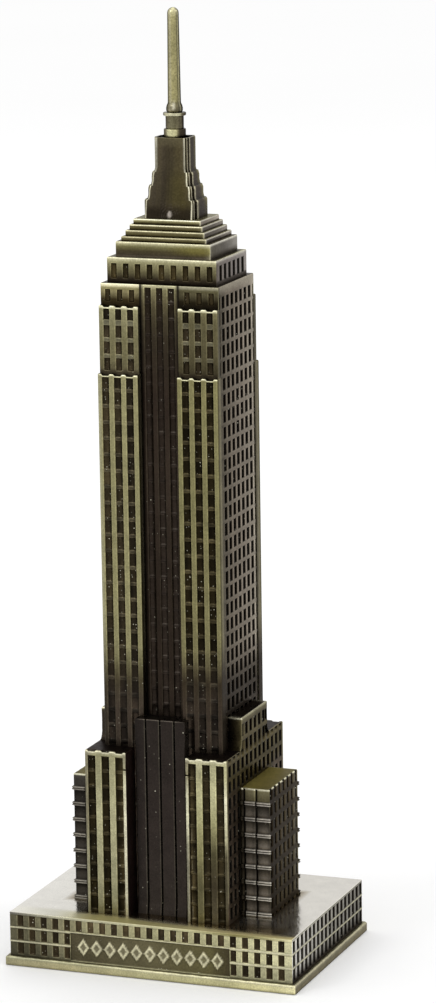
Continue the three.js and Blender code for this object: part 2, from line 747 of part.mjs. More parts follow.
// The inner rib has a square head that is set back a little.
function pavilionHead() {
  const face = -PAVILION_HALF_DEPTH;
  const [first] = pavilionColumns();
  const step = [PAVILION_INNER - OVERRUN, first - PAVILION_STRIP_WIDTH / 2];
  const bottom = PAVILION_TOP - PAVILION_HEAD_HEIGHT;
  return block(...step, face - OVERRUN, face + PAVILION_HEAD_INSET, bottom, PAVILION_TOP + OVERRUN);
}

// What is sunk in the pavilion's outer side: columns of windows.
function pavilionFlank() {
  const from = -PAVILION_HALF_DEPTH;
  const to = -SIDE_BLOCK_FOOT_HALF_WIDTH;
  const face = PAVILION_HALF_WIDTH;
  const columns = centred(from, to, SIDE_COLUMN_PITCH, SIDE_WINDOW_WIDTH, BLOCK_MARGIN);
  const first = PAVILION_TOP - BLOCK_WINDOW_HEAD;
  const foot = DECK_TOP + WING_WINDOW_FOOT;
  const tops = rowsDown(first, foot, FLOOR_PITCH, BLOCK_WINDOW_HEIGHT);
  return blockWindows(columns, tops, face);
}

// Windows of the lower masses, all of one size.
function blockWindows(columns, tops, face) {
  const size = [SIDE_WINDOW_WIDTH, BLOCK_WINDOW_HEIGHT];
  return windowColumns(columns, tops, ...size, face - SIDE_WINDOW_DEPTH, face);
}

function pavilions() {
  const body = pavilion();
  for (const [name, sx, sy] of CORNERS)
    piece("pavilion_" + name, body, BRASS).scale.set(sx, -sy, 1);
}

// The side block: a stepped plate with windows, between two pavilions.
function sideBlock() {
  const face = PAVILION_HALF_WIDTH;
  const foot = SIDE_BLOCK_FOOT_HALF_WIDTH;
  const head = SIDE_BLOCK_HALF_WIDTH;
  const stepped = outline([
    [-foot, DECK_TOP],
    [foot, DECK_TOP],
    [foot, PAVILION_TOP],
    [head, PAVILION_TOP],
    [head, SIDE_BLOCK_TOP],
    [-head, SIDE_BLOCK_TOP],
    [-head, PAVILION_TOP],
    [-foot, PAVILION_TOP],
  ]);
  const windows = (half, top, lowest) => {
    const columns = centred(-half, half, SIDE_COLUMN_PITCH, SIDE_WINDOW_WIDTH, BLOCK_MARGIN);
    const first = top - BLOCK_WINDOW_HEAD;
    const tops = rowsDown(first, lowest, FLOOR_PITCH, BLOCK_WINDOW_HEIGHT);
    return blockWindows(columns, tops, face);
  };
  return extrude(stepped, SHAFT_HALF_WIDTH + FIT, face)
    .subtract(windows(foot, PAVILION_TOP, WING_TOP))
    .subtract(windows(head, SIDE_BLOCK_TOP, PAVILION_TOP));
}

// The low wing: its side profile carries the ledges of the front and back as rounded noses.
function wingProfile() {
  const half = WING_HALF_DEPTH;
  const middles = [];
  for (let z = WING_TOP - LEDGE_DROP; z > DECK_TOP + LEDGE_HEIGHT / 2; z -= FLOOR_PITCH)
    middles.push(z);
  const shape = new THREE.Shape();
  const nose = (side, from, to) => {
    const proud = half + LEDGE_PROUD;
    shape.lineTo(side * half, from);
    shape.lineTo(side * proud, from + (to - from) / 4);
    shape.lineTo(side * proud, to - (to - from) / 4);
    shape.lineTo(side * half, to);
  };
  shape.moveTo(-half, DECK_TOP);
  shape.lineTo(half, DECK_TOP);
  const reach = LEDGE_HEIGHT / 2;
  for (const z of [...middles].reverse()) nose(1, z - reach, z + reach);
  shape.lineTo(half, WING_TOP);
  shape.lineTo(-half, WING_TOP);
  for (const z of middles) nose(-1, z + reach, z - reach);
  return shape;
}

function sideWing() {
  const half = WING_HALF_DEPTH;
  const foot = DECK_TOP + WING_WINDOW_FOOT;
  const columns = centred(-half, half, SIDE_COLUMN_PITCH, SIDE_WINDOW_WIDTH, BLOCK_MARGIN);
  const spandrel = FLOOR_PITCH - BLOCK_WINDOW_HEIGHT;
  const first = WING_TOP - LEDGE_DROP + FLOOR_PITCH - spandrel / 2;
  const tops = rowsDown(first, foot, FLOOR_PITCH, BLOCK_WINDOW_HEIGHT);
  return extrude(wingProfile(), PAVILION_HALF_WIDTH + FIT, WING_OUTER)
    .subtract(blockWindows(columns, tops, WING_OUTER))
    .subtract(wingGrooves());
}

// An upright groove parts the front and the back face into two panels, ledges included.
function wingGrooves() {
  const near = WING_HALF_DEPTH - WING_GROOVE;
  const far = WING_HALF_DEPTH + LEDGE_PROUD + OVERRUN;
  const strip = (from, to) => rectangle(from, to, DECK_TOP - OVERRUN, WING_TOP + OVERRUN);
  const outer = WING_OUTER - WING_PANEL;
  return extrude([strip(near, far), strip(-far, -near)], outer - WING_GROOVE, outer);
}

function lowerStages() {
  wall("front_centre_bay", centreBay(), DARK_BRASS, frontSide);
  wall("back_centre_bay", centreBay(), DARK_BRASS, backSide);
  wall("right_side_block", sideBlock(), DARK_BRASS, rightSide);
  wall("left_side_block", sideBlock(), DARK_BRASS, leftSide);
  wall("right_wing", sideWing(), DARK_BRASS, rightSide);
  wall("left_wing", sideWing(), DARK_BRASS, leftSide);
}

// Crown

const BAND_TOP = ATTIC_TOP + CROWN_BAND_HEIGHT;
const BLOCK_TOP = BAND_TOP + CROWN_BLOCK_HEIGHT;
const STEPS_TOP = BLOCK_TOP + CROWN_STEP_COUNT * CROWN_STEP_HEIGHT;

function rodBore(from, to) {
  return disc(ROD_DIAMETER + 2 * RUNNING, from, to, SMALL_SIDES);
}

function crownWindows(half, face, pitch) {
  const columns = centred(-half, half, pitch, CROWN_WINDOW_WIDTH, CROWN_MARGIN);
  const top = BAND_TOP - CROWN_WINDOW_HEAD;
  const size = [CROWN_WINDOW_WIDTH, CROWN_WINDOW_HEIGHT];
  return upright(windowColumns(columns, [top], ...size, face - CROWN_WINDOW_DEPTH, face));
}

function crownBand() {
  const x = CROWN_BAND_WIDTH / 2;
  const y = CROWN_BAND_DEPTH / 2;
  const spigotX = FLANK - SIDE_WALL_THICKNESS - SPIGOT_WALL;
  const spigotY = FACE - FRONT_WALL_THICKNESS - SPIGOT_WALL;
  const foot = ATTIC_TOP - SPIGOT_HEIGHT;
  let body = block(-x, x, -y, y, ATTIC_TOP, BAND_TOP);
  body = body.add(block(-spigotX, spigotX, -spigotY, spigotY, foot, ATTIC_TOP));
  const front = crownWindows(x, y, CROWN_FRONT_PITCH);
  const flank = crownWindows(y, x, CROWN_SIDE_PITCH).rotate([0, 0, QUARTER_TURN]);
  const halfTurn = [0, 0, 2 * QUARTER_TURN];
  for (const row of [front, flank]) body = body.subtract(row).subtract(row.rotate(halfTurn));
  return body.subtract(rodBore(foot - OVERRUN, BAND_TOP + OVERRUN));
}

function crownBlock() {
  const x = CROWN_BLOCK_WIDTH / 2;
  const y = CROWN_BLOCK_DEPTH / 2;
  const body = block(-x, x, -y, y, BAND_TOP, BLOCK_TOP);
  return body.subtract(rodBore(BAND_TOP - OVERRUN, BLOCK_TOP + OVERRUN));
}

// A stepped silhouette that is the same on both sides, from [half width, top] steps.
function stepped(bottom, steps) {
  const right = steps.flatMap(([half, top], i) => [
    [half, i ? steps[i - 1][1] : bottom],
    [half, top],
  ]);
  return outline([...right, ...right.map(([u, v]) => [-u, v]).reverse()]);
}

// A stepped pyramid is where its front and its side silhouettes meet.
function pyramid(bottom, frontSteps, sideSteps) {
  const reach = (steps) => steps[0][0] + OVERRUN;
  const front = extrude(stepped(bottom, frontSteps), -reach(sideSteps), reach(sideSteps));
  const side = extrude(stepped(bottom, sideSteps), -reach(frontSteps), reach(frontSteps));
  return upright(front).intersect(upright(side).rotate([0, 0, QUARTER_TURN]));
}

function crownSteps() {
  const steps = (width, run) =>
    Array.from({ length: CROWN_STEP_COUNT }, (_, i) => [
      width / 2 - i * run,
      BLOCK_TOP + (i + 1) * CROWN_STEP_HEIGHT,
    ]);
  const frontSteps = steps(CROWN_STEPS_WIDTH, CROWN_STEP_RUN_X);
  const sideSteps = steps(CROWN_STEPS_DEPTH, CROWN_STEP_RUN_Y);
  const body = pyramid(BLOCK_TOP, frontSteps, sideSteps);
  return body.subtract(rodBore(BLOCK_TOP - OVERRUN, STEPS_TOP + OVERRUN));
}

// Mast

const MAST_TIERS = 3; // low tiers under the tall one
const FOOT_TOP = STEPS_TOP + MAST_FOOT_HEIGHT;
const MAST_TOP = FOOT_TOP + (MAST_TIERS - 1) * MAST_TIER_HEIGHT + MAST_SHAFT_HEIGHT;

// Steps of a mast silhouette, widest first, that narrow by the same run to the given half width.
// The core's own steps lie a plate's thickness lower, so that the plates lap over them.
function mastSteps(half, run, drop = 0) {
  const low = Array.from({ length: MAST_TIERS }, (_, i) => [
    half + (MAST_TIERS - i) * run,
    FOOT_TOP + i * MAST_TIER_HEIGHT - drop,
  ]);
  return [...low, [half, MAST_TOP]];
}

function mastCore() {
  const frontSteps = mastSteps(MAST_CORE_WIDTH / 2, MAST_STEP, MAST_LAP);
  const sideSteps = mastSteps(MAST_CORE_DEPTH / 2, MAST_STEP, MAST_LAP);
  const body = pyramid(STEPS_TOP, frontSteps, sideSteps);
  const rodTop = STEPS_TOP + ROD_ENGAGEMENT + FIT;
  const spigot = SPIRE_SPIGOT_DIAMETER + 2 * FIT;
  const seat = disc(spigot, MAST_TOP - SPIRE_SPIGOT_DEPTH - FIT, MAST_TOP + OVERRUN, SMALL_SIDES);
  return body.subtract(rodBore(STEPS_TOP - OVERRUN, rodTop)).subtract(seat);
}

// A stepped plate on one face of the core: its outline steps in with the tiers, and its face
// steps back with them, so it is the outline's extrusion cut by the tiers' side profile.
function mastPlate(width, widthRun, coreSize, thickness) {
  const front = stepped(STEPS_TOP, mastSteps(width / 2, widthRun));
  const faceSteps = mastSteps(coreSize / 2 + FIT + thickness, MAST_STEP);
  const backSteps = mastSteps(coreSize / 2 + FIT, MAST_STEP, MAST_LAP - FIT);
  const span = width + MAST_TIERS * widthRun + OVERRUN;
  const side = (steps, reach) => {
    const profile = extrude(stepped(STEPS_TOP, steps), -reach, reach);
    return profile.rotate([0, QUARTER_TURN, 0]).mirror([1, 0, 0]);
  };
  const deep = faceSteps[0][0] + OVERRUN;
  const slab = extrude(front, 0, deep);
  backSteps[MAST_TIERS][1] += OVERRUN;
  const shell = side(faceSteps, span).subtract(side(backSteps, span + OVERRUN));
  return slab.intersect(shell);
}

function mast() {
  piece("mast_core", mastCore(), DARK_BRASS);
  const long = () =>
    mastPlate(MAST_FRONT_PLATE_WIDTH, MAST_STEP, MAST_CORE_DEPTH, MAST_FRONT_PLATE_THICKNESS);
  const short = () => {
    const size = [MAST_SIDE_PLATE_WIDTH, MAST_SIDE_PLATE_STEP];
    return mastPlate(...size, MAST_CORE_WIDTH, MAST_SIDE_PLATE_THICKNESS);
  };
  wall("mast_front_plate", long(), DARK_BRASS, frontSide);
  wall("mast_back_plate", long(), DARK_BRASS, backSide);
  wall("mast_right_plate", short(), DARK_BRASS, rightSide);
  wall("mast_left_plate", short(), DARK_BRASS, leftSide);
}

const DRUM_BOTTOM = MAST_TOP + COLLAR_HEIGHT;
const GALLERY_BOTTOM = DRUM_BOTTOM + DRUM_HEIGHT;
const SPIRE_BOTTOM = GALLERY_BOTTOM + GALLERY_HEIGHT;

// The spire rod: a flared knob at its foot, a slight taper, a domed tip, and a spigot that
// threads the turned pieces below it.
function spire() {
  const knob = KNOB_DIAMETER / 2;
  const foot = SPIRE_FOOT_DIAMETER / 2;
  const tip = SPIRE_TOP_DIAMETER / 2;
  const spigot = SPIRE_SPIGOT_DIAMETER / 2;
  const rodBottom = SPIRE_BOTTOM + KNOB_HEIGHT;
  const domeBottom = rodBottom + SPIRE_HEIGHT - tip;
  const dome = Array.from({ length: DOME_STEPS }, (_, i) => {
    const angle = (QUARTER * (i + 1)) / DOME_STEPS;
    return [tip * Math.cos(angle), domeBottom + tip * Math.sin(angle)];
  });
  dome[DOME_STEPS - 1][0] = 0;
  return turn([
    [0, MAST_TOP - SPIRE_SPIGOT_DEPTH],
    [spigot, MAST_TOP - SPIRE_SPIGOT_DEPTH],
    [spigot, SPIRE_BOTTOM],
    [(knob + foot) / 2, SPIRE_BOTTOM],
    [knob, SPIRE_BOTTOM + KNOB_HEIGHT / 4],
    [knob, SPIRE_BOTTOM + KNOB_HEIGHT / 2],
    [foot, rodBottom],
    [tip, domeBottom],
    ...dome,
  ]);
}

function mastHead() {
  const bore = SPIRE_SPIGOT_DIAMETER + 2 * FIT;
  piece("mast_collar", ring(COLLAR_DIAMETER, bore, MAST_TOP, DRUM_BOTTOM), BRASS);
  piece("mast_drum", ring(DRUM_DIAMETER, bore, DRUM_BOTTOM, GALLERY_BOTTOM), BRASS);
  piece("gallery_ring", ring(GALLERY_DIAMETER, bore, GALLERY_BOTTOM, SPIRE_BOTTOM), BRASS);
  piece("spire_rod", spire(), BRASS);
}

function crown() {
  piece("crown_band", crownBand(), BRASS);
  piece("crown_block", crownBlock(), BRASS);
  piece("crown_steps", crownSteps(), BRASS);
}

// A rod from the mast core down to a nut under the deck holds the tower together.
function tieRod() {
  const washerBottom = DECK_BOTTOM - WASHER_THICKNESS;
  const nutBottom = washerBottom - NUT_HEIGHT;
  const bore = ROD_DIAMETER + 2 * RUNNING;
  const rodTop = STEPS_TOP + ROD_ENGAGEMENT;
  piece("tie_rod", disc(ROD_DIAMETER, nutBottom - ROD_END, rodTop, SMALL_SIDES), STEEL);
  const washer = ring(WASHER_DIAMETER, bore, washerBottom, DECK_BOTTOM, SMALL_SIDES);
  piece("tie_rod_washer", washer, STEEL);
  const corners = NUT_WIDTH / Math.cos(Math.PI / HEX_SIDES);
  const hexagon = disc(corners, nutBottom, washerBottom, HEX_SIDES);
  const hole = disc(bore, nutBottom - OVERRUN, washerBottom + OVERRUN, SMALL_SIDES);
  piece("tie_rod_nut", hexagon.subtract(hole), STEEL);
}

bottomPlate();
baseFixings();
plinthPanels();
deckPlate();
shaft();
lowerStages();
pavilions();
crown();
mast();
mastHead();
tieRod();

export default tower;
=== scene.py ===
import bpy
import numpy as np
from mathutils import Matrix, Vector

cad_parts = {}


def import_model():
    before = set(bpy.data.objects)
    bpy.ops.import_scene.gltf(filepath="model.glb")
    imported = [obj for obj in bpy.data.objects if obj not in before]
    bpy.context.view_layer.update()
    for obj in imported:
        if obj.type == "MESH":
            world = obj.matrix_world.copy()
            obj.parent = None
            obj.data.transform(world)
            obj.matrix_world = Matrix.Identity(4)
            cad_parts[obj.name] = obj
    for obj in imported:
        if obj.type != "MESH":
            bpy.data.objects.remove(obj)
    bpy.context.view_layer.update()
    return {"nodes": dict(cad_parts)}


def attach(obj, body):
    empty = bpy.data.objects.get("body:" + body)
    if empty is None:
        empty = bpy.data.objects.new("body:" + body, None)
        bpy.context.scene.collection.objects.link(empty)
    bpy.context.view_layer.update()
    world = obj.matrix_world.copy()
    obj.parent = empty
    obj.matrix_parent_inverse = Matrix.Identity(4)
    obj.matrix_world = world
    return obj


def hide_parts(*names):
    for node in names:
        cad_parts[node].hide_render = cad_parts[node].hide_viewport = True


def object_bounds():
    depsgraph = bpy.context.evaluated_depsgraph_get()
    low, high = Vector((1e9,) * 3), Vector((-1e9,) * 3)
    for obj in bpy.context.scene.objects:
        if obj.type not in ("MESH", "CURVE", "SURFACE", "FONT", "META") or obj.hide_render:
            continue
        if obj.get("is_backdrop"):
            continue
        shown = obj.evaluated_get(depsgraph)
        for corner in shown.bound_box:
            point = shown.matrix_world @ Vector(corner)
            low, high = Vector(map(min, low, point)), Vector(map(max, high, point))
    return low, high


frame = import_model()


def corners():
    return [[float(value) for value in corner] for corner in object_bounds()]


# Sizes are in millimetres and written to the meshes in metres. +Z is up, the front faces -Y.
MM = 0.001
BODY = "root"

# Where a grid has lines across an edge, and how soft that edge is.
EDGE_OFFSETS = (-0.34, -0.16, -0.06, 0.06, 0.16, 0.34)
EDGE_WIDTH = 0.26
RIM_OFFSETS = (-0.14, 0, 0.14, 0.34)
ROUND_SHARE = 0.586
GUARD = 0.12

# Plinth
LIP_X, LIP_Y, LIP_BOTTOM, LIP_TOP = 38.95, 27.85, 0.2, 2.5
PLINTH_X, PLINTH_Y = 37.9, 26.8
PANEL_TOP, DECK_TOP = 13.55, 13.9
PLINTH_ROWS, PLINTH_ROW_PITCH, PLINTH_ROW_MIDDLE = 3, 3.62, 8.155
PLINTH_WINDOW = (1.5, 2.75, 0.5)
PLINTH_FRONT_COLUMNS, PLINTH_FRONT_PITCH = 23, 3.18
PLINTH_SIDE_COLUMNS, PLINTH_SIDE_PITCH = 18, 3.0
FIELD_X, FIELD_BOTTOM, FIELD_TOP, FIELD_DEPTH = 21.3, 2.75, 9.85, 0.35
LOZENGES, LOZENGE_PITCH, LOZENGE_HALF = 11, 3.6, 1.0

# Shaft: attic, upper and lower stage, each a little prouder than the one above.
FLOOR = 4.06
ATTIC = (15.5, 12.58, 173.2)
UPPER = (15.62, 13.8, 167.8)
LOWER = (15.81, 14.86, 150.9)
BAY_X = 5.13
BAY_PITCH, BAY_STRIP = 3.05, 1.57
SIDE_PITCH, SIDE_WINDOW = 3.08, (1.5, 2.8, 0.7)
SIDE_TOP_ROW = 170.6
STRIP_MIDDLE, STRIP_PITCH, STRIP_WIDTH = 10.55, 3.2, 1.75
WINDOW_MIDDLE, WINDOW_PITCH = 10.45, 3.15

# Lower buildings
PAVILION = (7.93, 18.95, 20.75, 10.8, 56.2)
PAVILION_STRIP_MIDDLE, PAVILION_STRIP_PITCH, PAVILION_STRIP = 13.46, 3.7, 1.93
BLOCK_TOP, BLOCK_Y, BLOCK_FOOT_Y = 64.4, 9.17, 10.78
BLOCK_WINDOW = (1.4, 2.7, 0.6)
WING = (18.95, 26.44, 10.5, 46.74)
WING_LEDGES, WING_LEDGE_TOP = 8, 43.0
CENTRE = (6.65, 17.3, 64.4)
CENTRE_GROOVE_PITCH = 3.8

# Crown
BAND = (14.41, 10.76, 179.4)
CROWN_BLOCK = (12.47, 9.62, 183.2)
STEPS = ((11.21, 9.05, 184.4), (10.4, 8.2, 185.85), (9.6, 7.4, 187.2), (8.88, 6.6, 188.55))

# Mast: tier tops, and the widths of its front plates, side fins and core on each tier.
TIER_TOPS = (193.15, 196.52, 199.9)
MAST_BOTTOM, MAST_TOP = 188.5, 208.35
PLATE_X = (6.16, 5.34, 4.55, 3.88)
PLATE_Y = (5.45, 4.9, 4.35, 3.62)
FIN_X = (7.1, 6.25, 5.45, 4.67)
FIN_Y = (3.3, 2.84, 2.2, 1.95)
CORE_X = (6.5, 5.7, 4.95, 4.2)
CORE_Y = (4.8, 4.2, 3.65, 2.9)

# Colours of the patina, and one black of painted shadow, as red, green and blue from 0 to 255.
BRASS = (132, 126, 92)
BRASS_PALE = (165, 161, 126)
BRASS_LIGHT = (204, 200, 164)
PATINA = (46, 39, 32)
PATINA_DEEP = (30, 24, 15)
STRIP = (43, 36, 20)
SPANDREL = (78, 71, 46)
# Painted shadow: the near-black put into window openings, grooves and gaps where shade falls.
SHADOW_BLACK = (10, 7, 4)
GREY = (122, 115, 104)
OLIVE = (92, 84, 46)
SIDES = {
    "front": ((1, 0, 0), (0, -1, 0)),
    "right": ((0, 1, 0), (1, 0, 0)),
    "back": ((-1, 0, 0), (0, 1, 0)),
    "left": ((0, -1, 0), (-1, 0, 0)),
}


def soft(inside, width=EDGE_WIDTH):
    share = np.clip(inside / width + 0.5, 0, 1)
    return share * share * (3 - 2 * share)


def between(value, low, high):
    return np.minimum(value - low, high - value)


def fold(value, pitch, count):
    """The distance to the nearest of count evenly spaced middles about zero."""
    last = (count - 1) / 2
    return value - np.clip(np.round(value / pitch + last), 0, count - 1) * pitch + last * pitch


def spread(middle, pitch, count):
    return [middle + (i - (count - 1) / 2) * pitch for i in range(count)]


def edges_of(middles, width):
    """Grid lines across both edges of each recess, and one line on the metal outside it."""
    return [m + side * (width / 2 + o) for m in middles for side in (-1, 1) for o in RIM_OFFSETS]


def edge(*values):
    """Grid lines across a single edge."""
    return [value + o for value in values for o in EDGE_OFFSETS]


def chance(*cells):
    """A repeatable share between 0 and 1 for each cell of a grid."""
    total = sum(np.round(cell) * step for cell, step in zip(cells, (12.9898, 78.233, 37.719)))
    return np.abs(np.sin(total + 1.7) * 43758.5453) % 1


def ramp(value, *stops):
    """A colour that changes along value through the (value, colour) stops."""
    at = [stop[0] for stop in stops]
    return np.stack([np.interp(value, at, [s[1][i] for s in stops]) for i in range(3)], -1)


def over(base, colour, share):
    colour = np.asarray(colour, float)
    return base + (colour - base) * np.asarray(share)[..., None]


def coat(value, colour):
    return np.broadcast_to(np.asarray(colour, float), np.shape(value) + (3,)).copy()


def plain(colour):
    return lambda w, z: (np.zeros_like(w), coat(w, colour))


def lines(low, high, radius, at=(), widest=3.0, open_low=False):
    bend = (0, ROUND_SHARE * radius, radius, radius + GUARD)
    values = [high - b for b in bend] + ([low] if open_low else [low + b for b in bend])
    first = low if open_low else low + radius
    values += [value for value in at if first < value < high - radius]
    kept = []
    for value in sorted(values):
        if not kept or value - kept[-1] > 0.03:
            kept.append(value)
    kept[-1] = high
    filled = [kept[0]]
    for a, b in zip(kept, kept[1:]):
        filled += list(np.linspace(a, b, max(1, int(np.ceil((b - a) / widest))) + 1)[1:])
    return np.array(filled)


def dented(points):
    """Small dents and bumps along a cast edge."""
    points = points.copy()
    x, y, z = points[..., 0], points[..., 1], points[..., 2]
    wave = np.sin(x * 1.9 + y * 2.3) * np.sin(x * 0.73 - y * 0.61) + 0.5 * np.sin(x * 4.7 + y * 5.3)
    points[..., 2] -= 0.07 * np.clip(wave, 0, 1.5) * soft(z - 1.9, 0.6)
    return points


class Skin:
    """Grids of points with their colours, welded into one mesh."""

    def __init__(self):
        self.points, self.colours, self.quads, self.count = [], [], [], 0

    def grid(self, points, colours):
        n, m = points.shape[:2]
        i = self.count + np.arange(n * m).reshape(n, m)
        quads = np.stack([i[:-1, :-1], i[1:, :-1], i[1:, 1:], i[:-1, 1:]], -1)
        self.points.append(points.reshape(-1, 3))
        self.colours.append(colours.reshape(-1, 3))
        self.quads.append(quads.reshape(-1, 4))
        self.count += n * m

    def block(self, box, radius, faces, xs=(), ys=(), zs=(), warp=None, widest=3.0):
        x0, x1, y0, y1, z0, z1 = box
        low = np.array([x0 + radius, y0 + radius, z0])
        high = np.array([x1 - radius, y1 - radius, z1 - radius])
        lines_x = lines(x0, x1, radius, xs, widest)
        lines_y = lines(y0, y1, radius, ys, widest)
        lines_z = lines(z0, z1, radius, zs, widest, True)
        out = {"front": -y0, "right": x1, "back": y1, "left": -x0}

        def place(flat, depth):
            inner = np.clip(flat, low, high)
            away = flat - inner
            normal = away / np.linalg.norm(away, axis=-1, keepdims=True)
            points = inner + normal * (radius - depth[..., None])
            return warp(points) if warp else points

        for side, (along, outward) in SIDES.items():
            if side not in faces:
                continue
            sign = sum(along)
            own = lines_x if along[0] else lines_y
            w, z = np.meshgrid(own[::sign], lines_z, indexing="ij")
            flat = np.abs(along) * w[..., None] + np.array([0, 0, 1]) * z[..., None]
            flat = flat + np.array(outward) * float(out[side])
            depth, colour = faces[side](w, z)
            self.grid(place(flat, depth), colour)
        if "top" in faces:
            x, y = np.meshgrid(lines_x, lines_y, indexing="ij")
            depth, colour = faces["top"](x, y)
            self.grid(place(np.stack([x, y, np.full_like(x, z1)], -1), depth), colour)

    def turned(self, profile, colour, segments=72, middle=(0, 0)):
        profile = np.asarray(profile, float)
        angle = np.linspace(0, 2 * np.pi, segments + 1)
        angle[-1] = 0
        a, r = np.meshgrid(angle, profile[:, 0], indexing="ij")
        z = np.broadcast_to(profile[:, 1], a.shape)
        points = np.stack([middle[0] + r * np.cos(a), middle[1] + r * np.sin(a), z], -1)
        self.grid(points, colour(a, z))

    def piece(self, name, material, slot, nodes, mirror=(1, 1)):
        points = np.concatenate(self.points) * np.array([*mirror, 1.0])
        colours = np.concatenate(self.colours)
        quads = np.concatenate(self.quads)
        keys, first, inverse = np.unique(
            np.round(points * 2000).astype(np.int64), axis=0, return_index=True, return_inverse=True
        )
        quads = inverse.reshape(-1)[quads]
        if mirror[0] * mirror[1] < 0:
            quads = quads[:, ::-1]
        mesh = bpy.data.meshes.new(name)
        mesh.from_pydata((points[first] * MM).tolist(), [], quads.tolist())
        mesh.validate()
        mesh.shade_smooth()
        write_colour(mesh, colours[first])
        write_wear(mesh)
        return finish_piece(name, mesh, material, nodes)


def write_colour(mesh, colours):
    share = np.clip(colours / 255, 0, 1)
    linear = np.where(share <= 0.04045, share / 12.92, ((share + 0.055) / 1.055) ** 2.4)
    values = np.concatenate([linear, np.ones((len(linear), 1))], 1)
    tint = mesh.attributes.new("tint", "FLOAT_COLOR", "POINT")
    tint.data.foreach_set("color", values.astype(np.float32).ravel())


def write_wear(mesh):
    """How far each vertex stands out of its neighbours as wear, and how far it lies in as grime."""
    count = len(mesh.vertices)
    co = np.empty(count * 3)
    mesh.vertices.foreach_get("co", co)
    co = co.reshape(-1, 3)
    normal = np.empty(count * 3)
    mesh.vertex_normals.foreach_get("vector", normal)
    normal = normal.reshape(-1, 3)
    pairs = np.empty(len(mesh.edges) * 2, np.int64)
    mesh.edges.foreach_get("vertices", pairs)
    a, b = pairs.reshape(-1, 2).T
    way = co[b] - co[a]
    way /= np.maximum(np.linalg.norm(way, axis=1, keepdims=True), 1e-9)
    drop, links = np.zeros(count), np.zeros(count)
    np.add.at(drop, a, -(way * normal[a]).sum(1))
    np.add.at(drop, b, (way * normal[b]).sum(1))
    np.add.at(links, a, 1)
    np.add.at(links, b, 1)
    out = drop / np.maximum(links, 1)
    for name, share in (("wear", (out - 0.04) / 0.2), ("grime", (-out - 0.03) / 0.2)):
        values = np.clip(share, 0, 1).astype(np.float32)
        mesh.attributes.new(name, "FLOAT", "POINT").data.foreach_set("value", values)


def finish_piece(name, mesh, material, nodes):
    mesh.materials.append(material)
    piece = bpy.data.objects.new(name, mesh)
    bpy.context.scene.collection.objects.link(piece)
    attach(piece, BODY)
    if nodes:
        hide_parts(*nodes)
    return piece


def linear(colour):
    share = np.asarray(colour, float) / 255
    made = np.where(share <= 0.04045, share / 12.92, ((share + 0.055) / 1.055) ** 2.4)
    return (*[float(v) for v in made], 1.0)


# Materials


class Graph:
    """A short way to write a material's nodes."""

    def __init__(self, name):
        self.material = bpy.data.materials.new(name)
        self.material.use_nodes = True
        self.tree = self.material.node_tree
        self.shader = self.tree.nodes["Principled BSDF"]
        self.place = self.node("ShaderNodeTexCoord").outputs["Object"]

    def node(self, kind, **settings):
        made = self.tree.nodes.new(kind)
        for key, value in settings.items():
            setattr(made, key, value)
        return made

    def link(self, value, socket):
        if isinstance(value, bpy.types.NodeSocket):
            self.tree.links.new(value, socket)
        else:
            socket.default_value = value

    def noise(self, scale, detail=4.0, stretch=None):
        made = self.node("ShaderNodeTexNoise")
        made.inputs["Scale"].default_value = scale
        made.inputs["Detail"].default_value = detail
        place = self.place
        if stretch:
            mapping = self.node("ShaderNodeMapping")
            mapping.inputs["Scale"].default_value = stretch
            self.link(place, mapping.inputs["Vector"])
            place = mapping.outputs["Vector"]
        self.link(place, made.inputs["Vector"])
        return made.outputs["Fac"]

    def remap(self, value, low, high, to_low, to_high):
        made = self.node("ShaderNodeMapRange")
        for socket, amount in zip(list(made.inputs)[:5], (value, low, high, to_low, to_high)):
            self.link(amount, socket)
        return made.outputs["Result"]

    def math(self, operation, a, b):
        made = self.node("ShaderNodeMath", operation=operation)
        self.link(a, made.inputs[0])
        self.link(b, made.inputs[1])
        return made.outputs[0]

    def mix(self, blend, factor, a, b):
        made = self.node("ShaderNodeMix", data_type="RGBA", blend_type=blend)
        self.link(factor, made.inputs["Factor"])
        self.link(a, made.inputs["A"])
        self.link(b, made.inputs["B"])
        return made.outputs["Result"]

    def attribute(self, name, output):
        return self.node("ShaderNodeAttribute", attribute_name=name).outputs[output]

    def bump(self, height, strength, distance):
        made = self.node("ShaderNodeBump")
        made.inputs["Strength"].default_value = strength
        made.inputs["Distance"].default_value = distance
        self.link(height, made.inputs["Height"])
        self.link(made.outputs["Normal"], self.shader.inputs["Normal"])


def specks(graph, scale, size, share):
    """Small bare spots where the patina has been rubbed off."""
    cells = graph.node("ShaderNodeTexVoronoi")
    cells.inputs["Scale"].default_value = scale
    graph.link(graph.place, cells.inputs["Vector"])
    parts = graph.node("ShaderNodeSeparateColor")
    graph.link(cells.outputs["Color"], parts.inputs["Color"])
    reach = graph.remap(parts.outputs[1], 0.0, 1.0, size * 0.5, size)
    near = graph.remap(graph.math("DIVIDE", cells.outputs["Distance"], reach), 0.5, 1.0, 1.0, 0.0)
    chosen = graph.math("GREATER_THAN", parts.outputs[0], 1 - share)
    level = graph.remap(parts.outputs[2], 0.0, 1.0, 0.3, 1.0)
    return graph.math("MULTIPLY", graph.math("MULTIPLY", near, chosen), level)


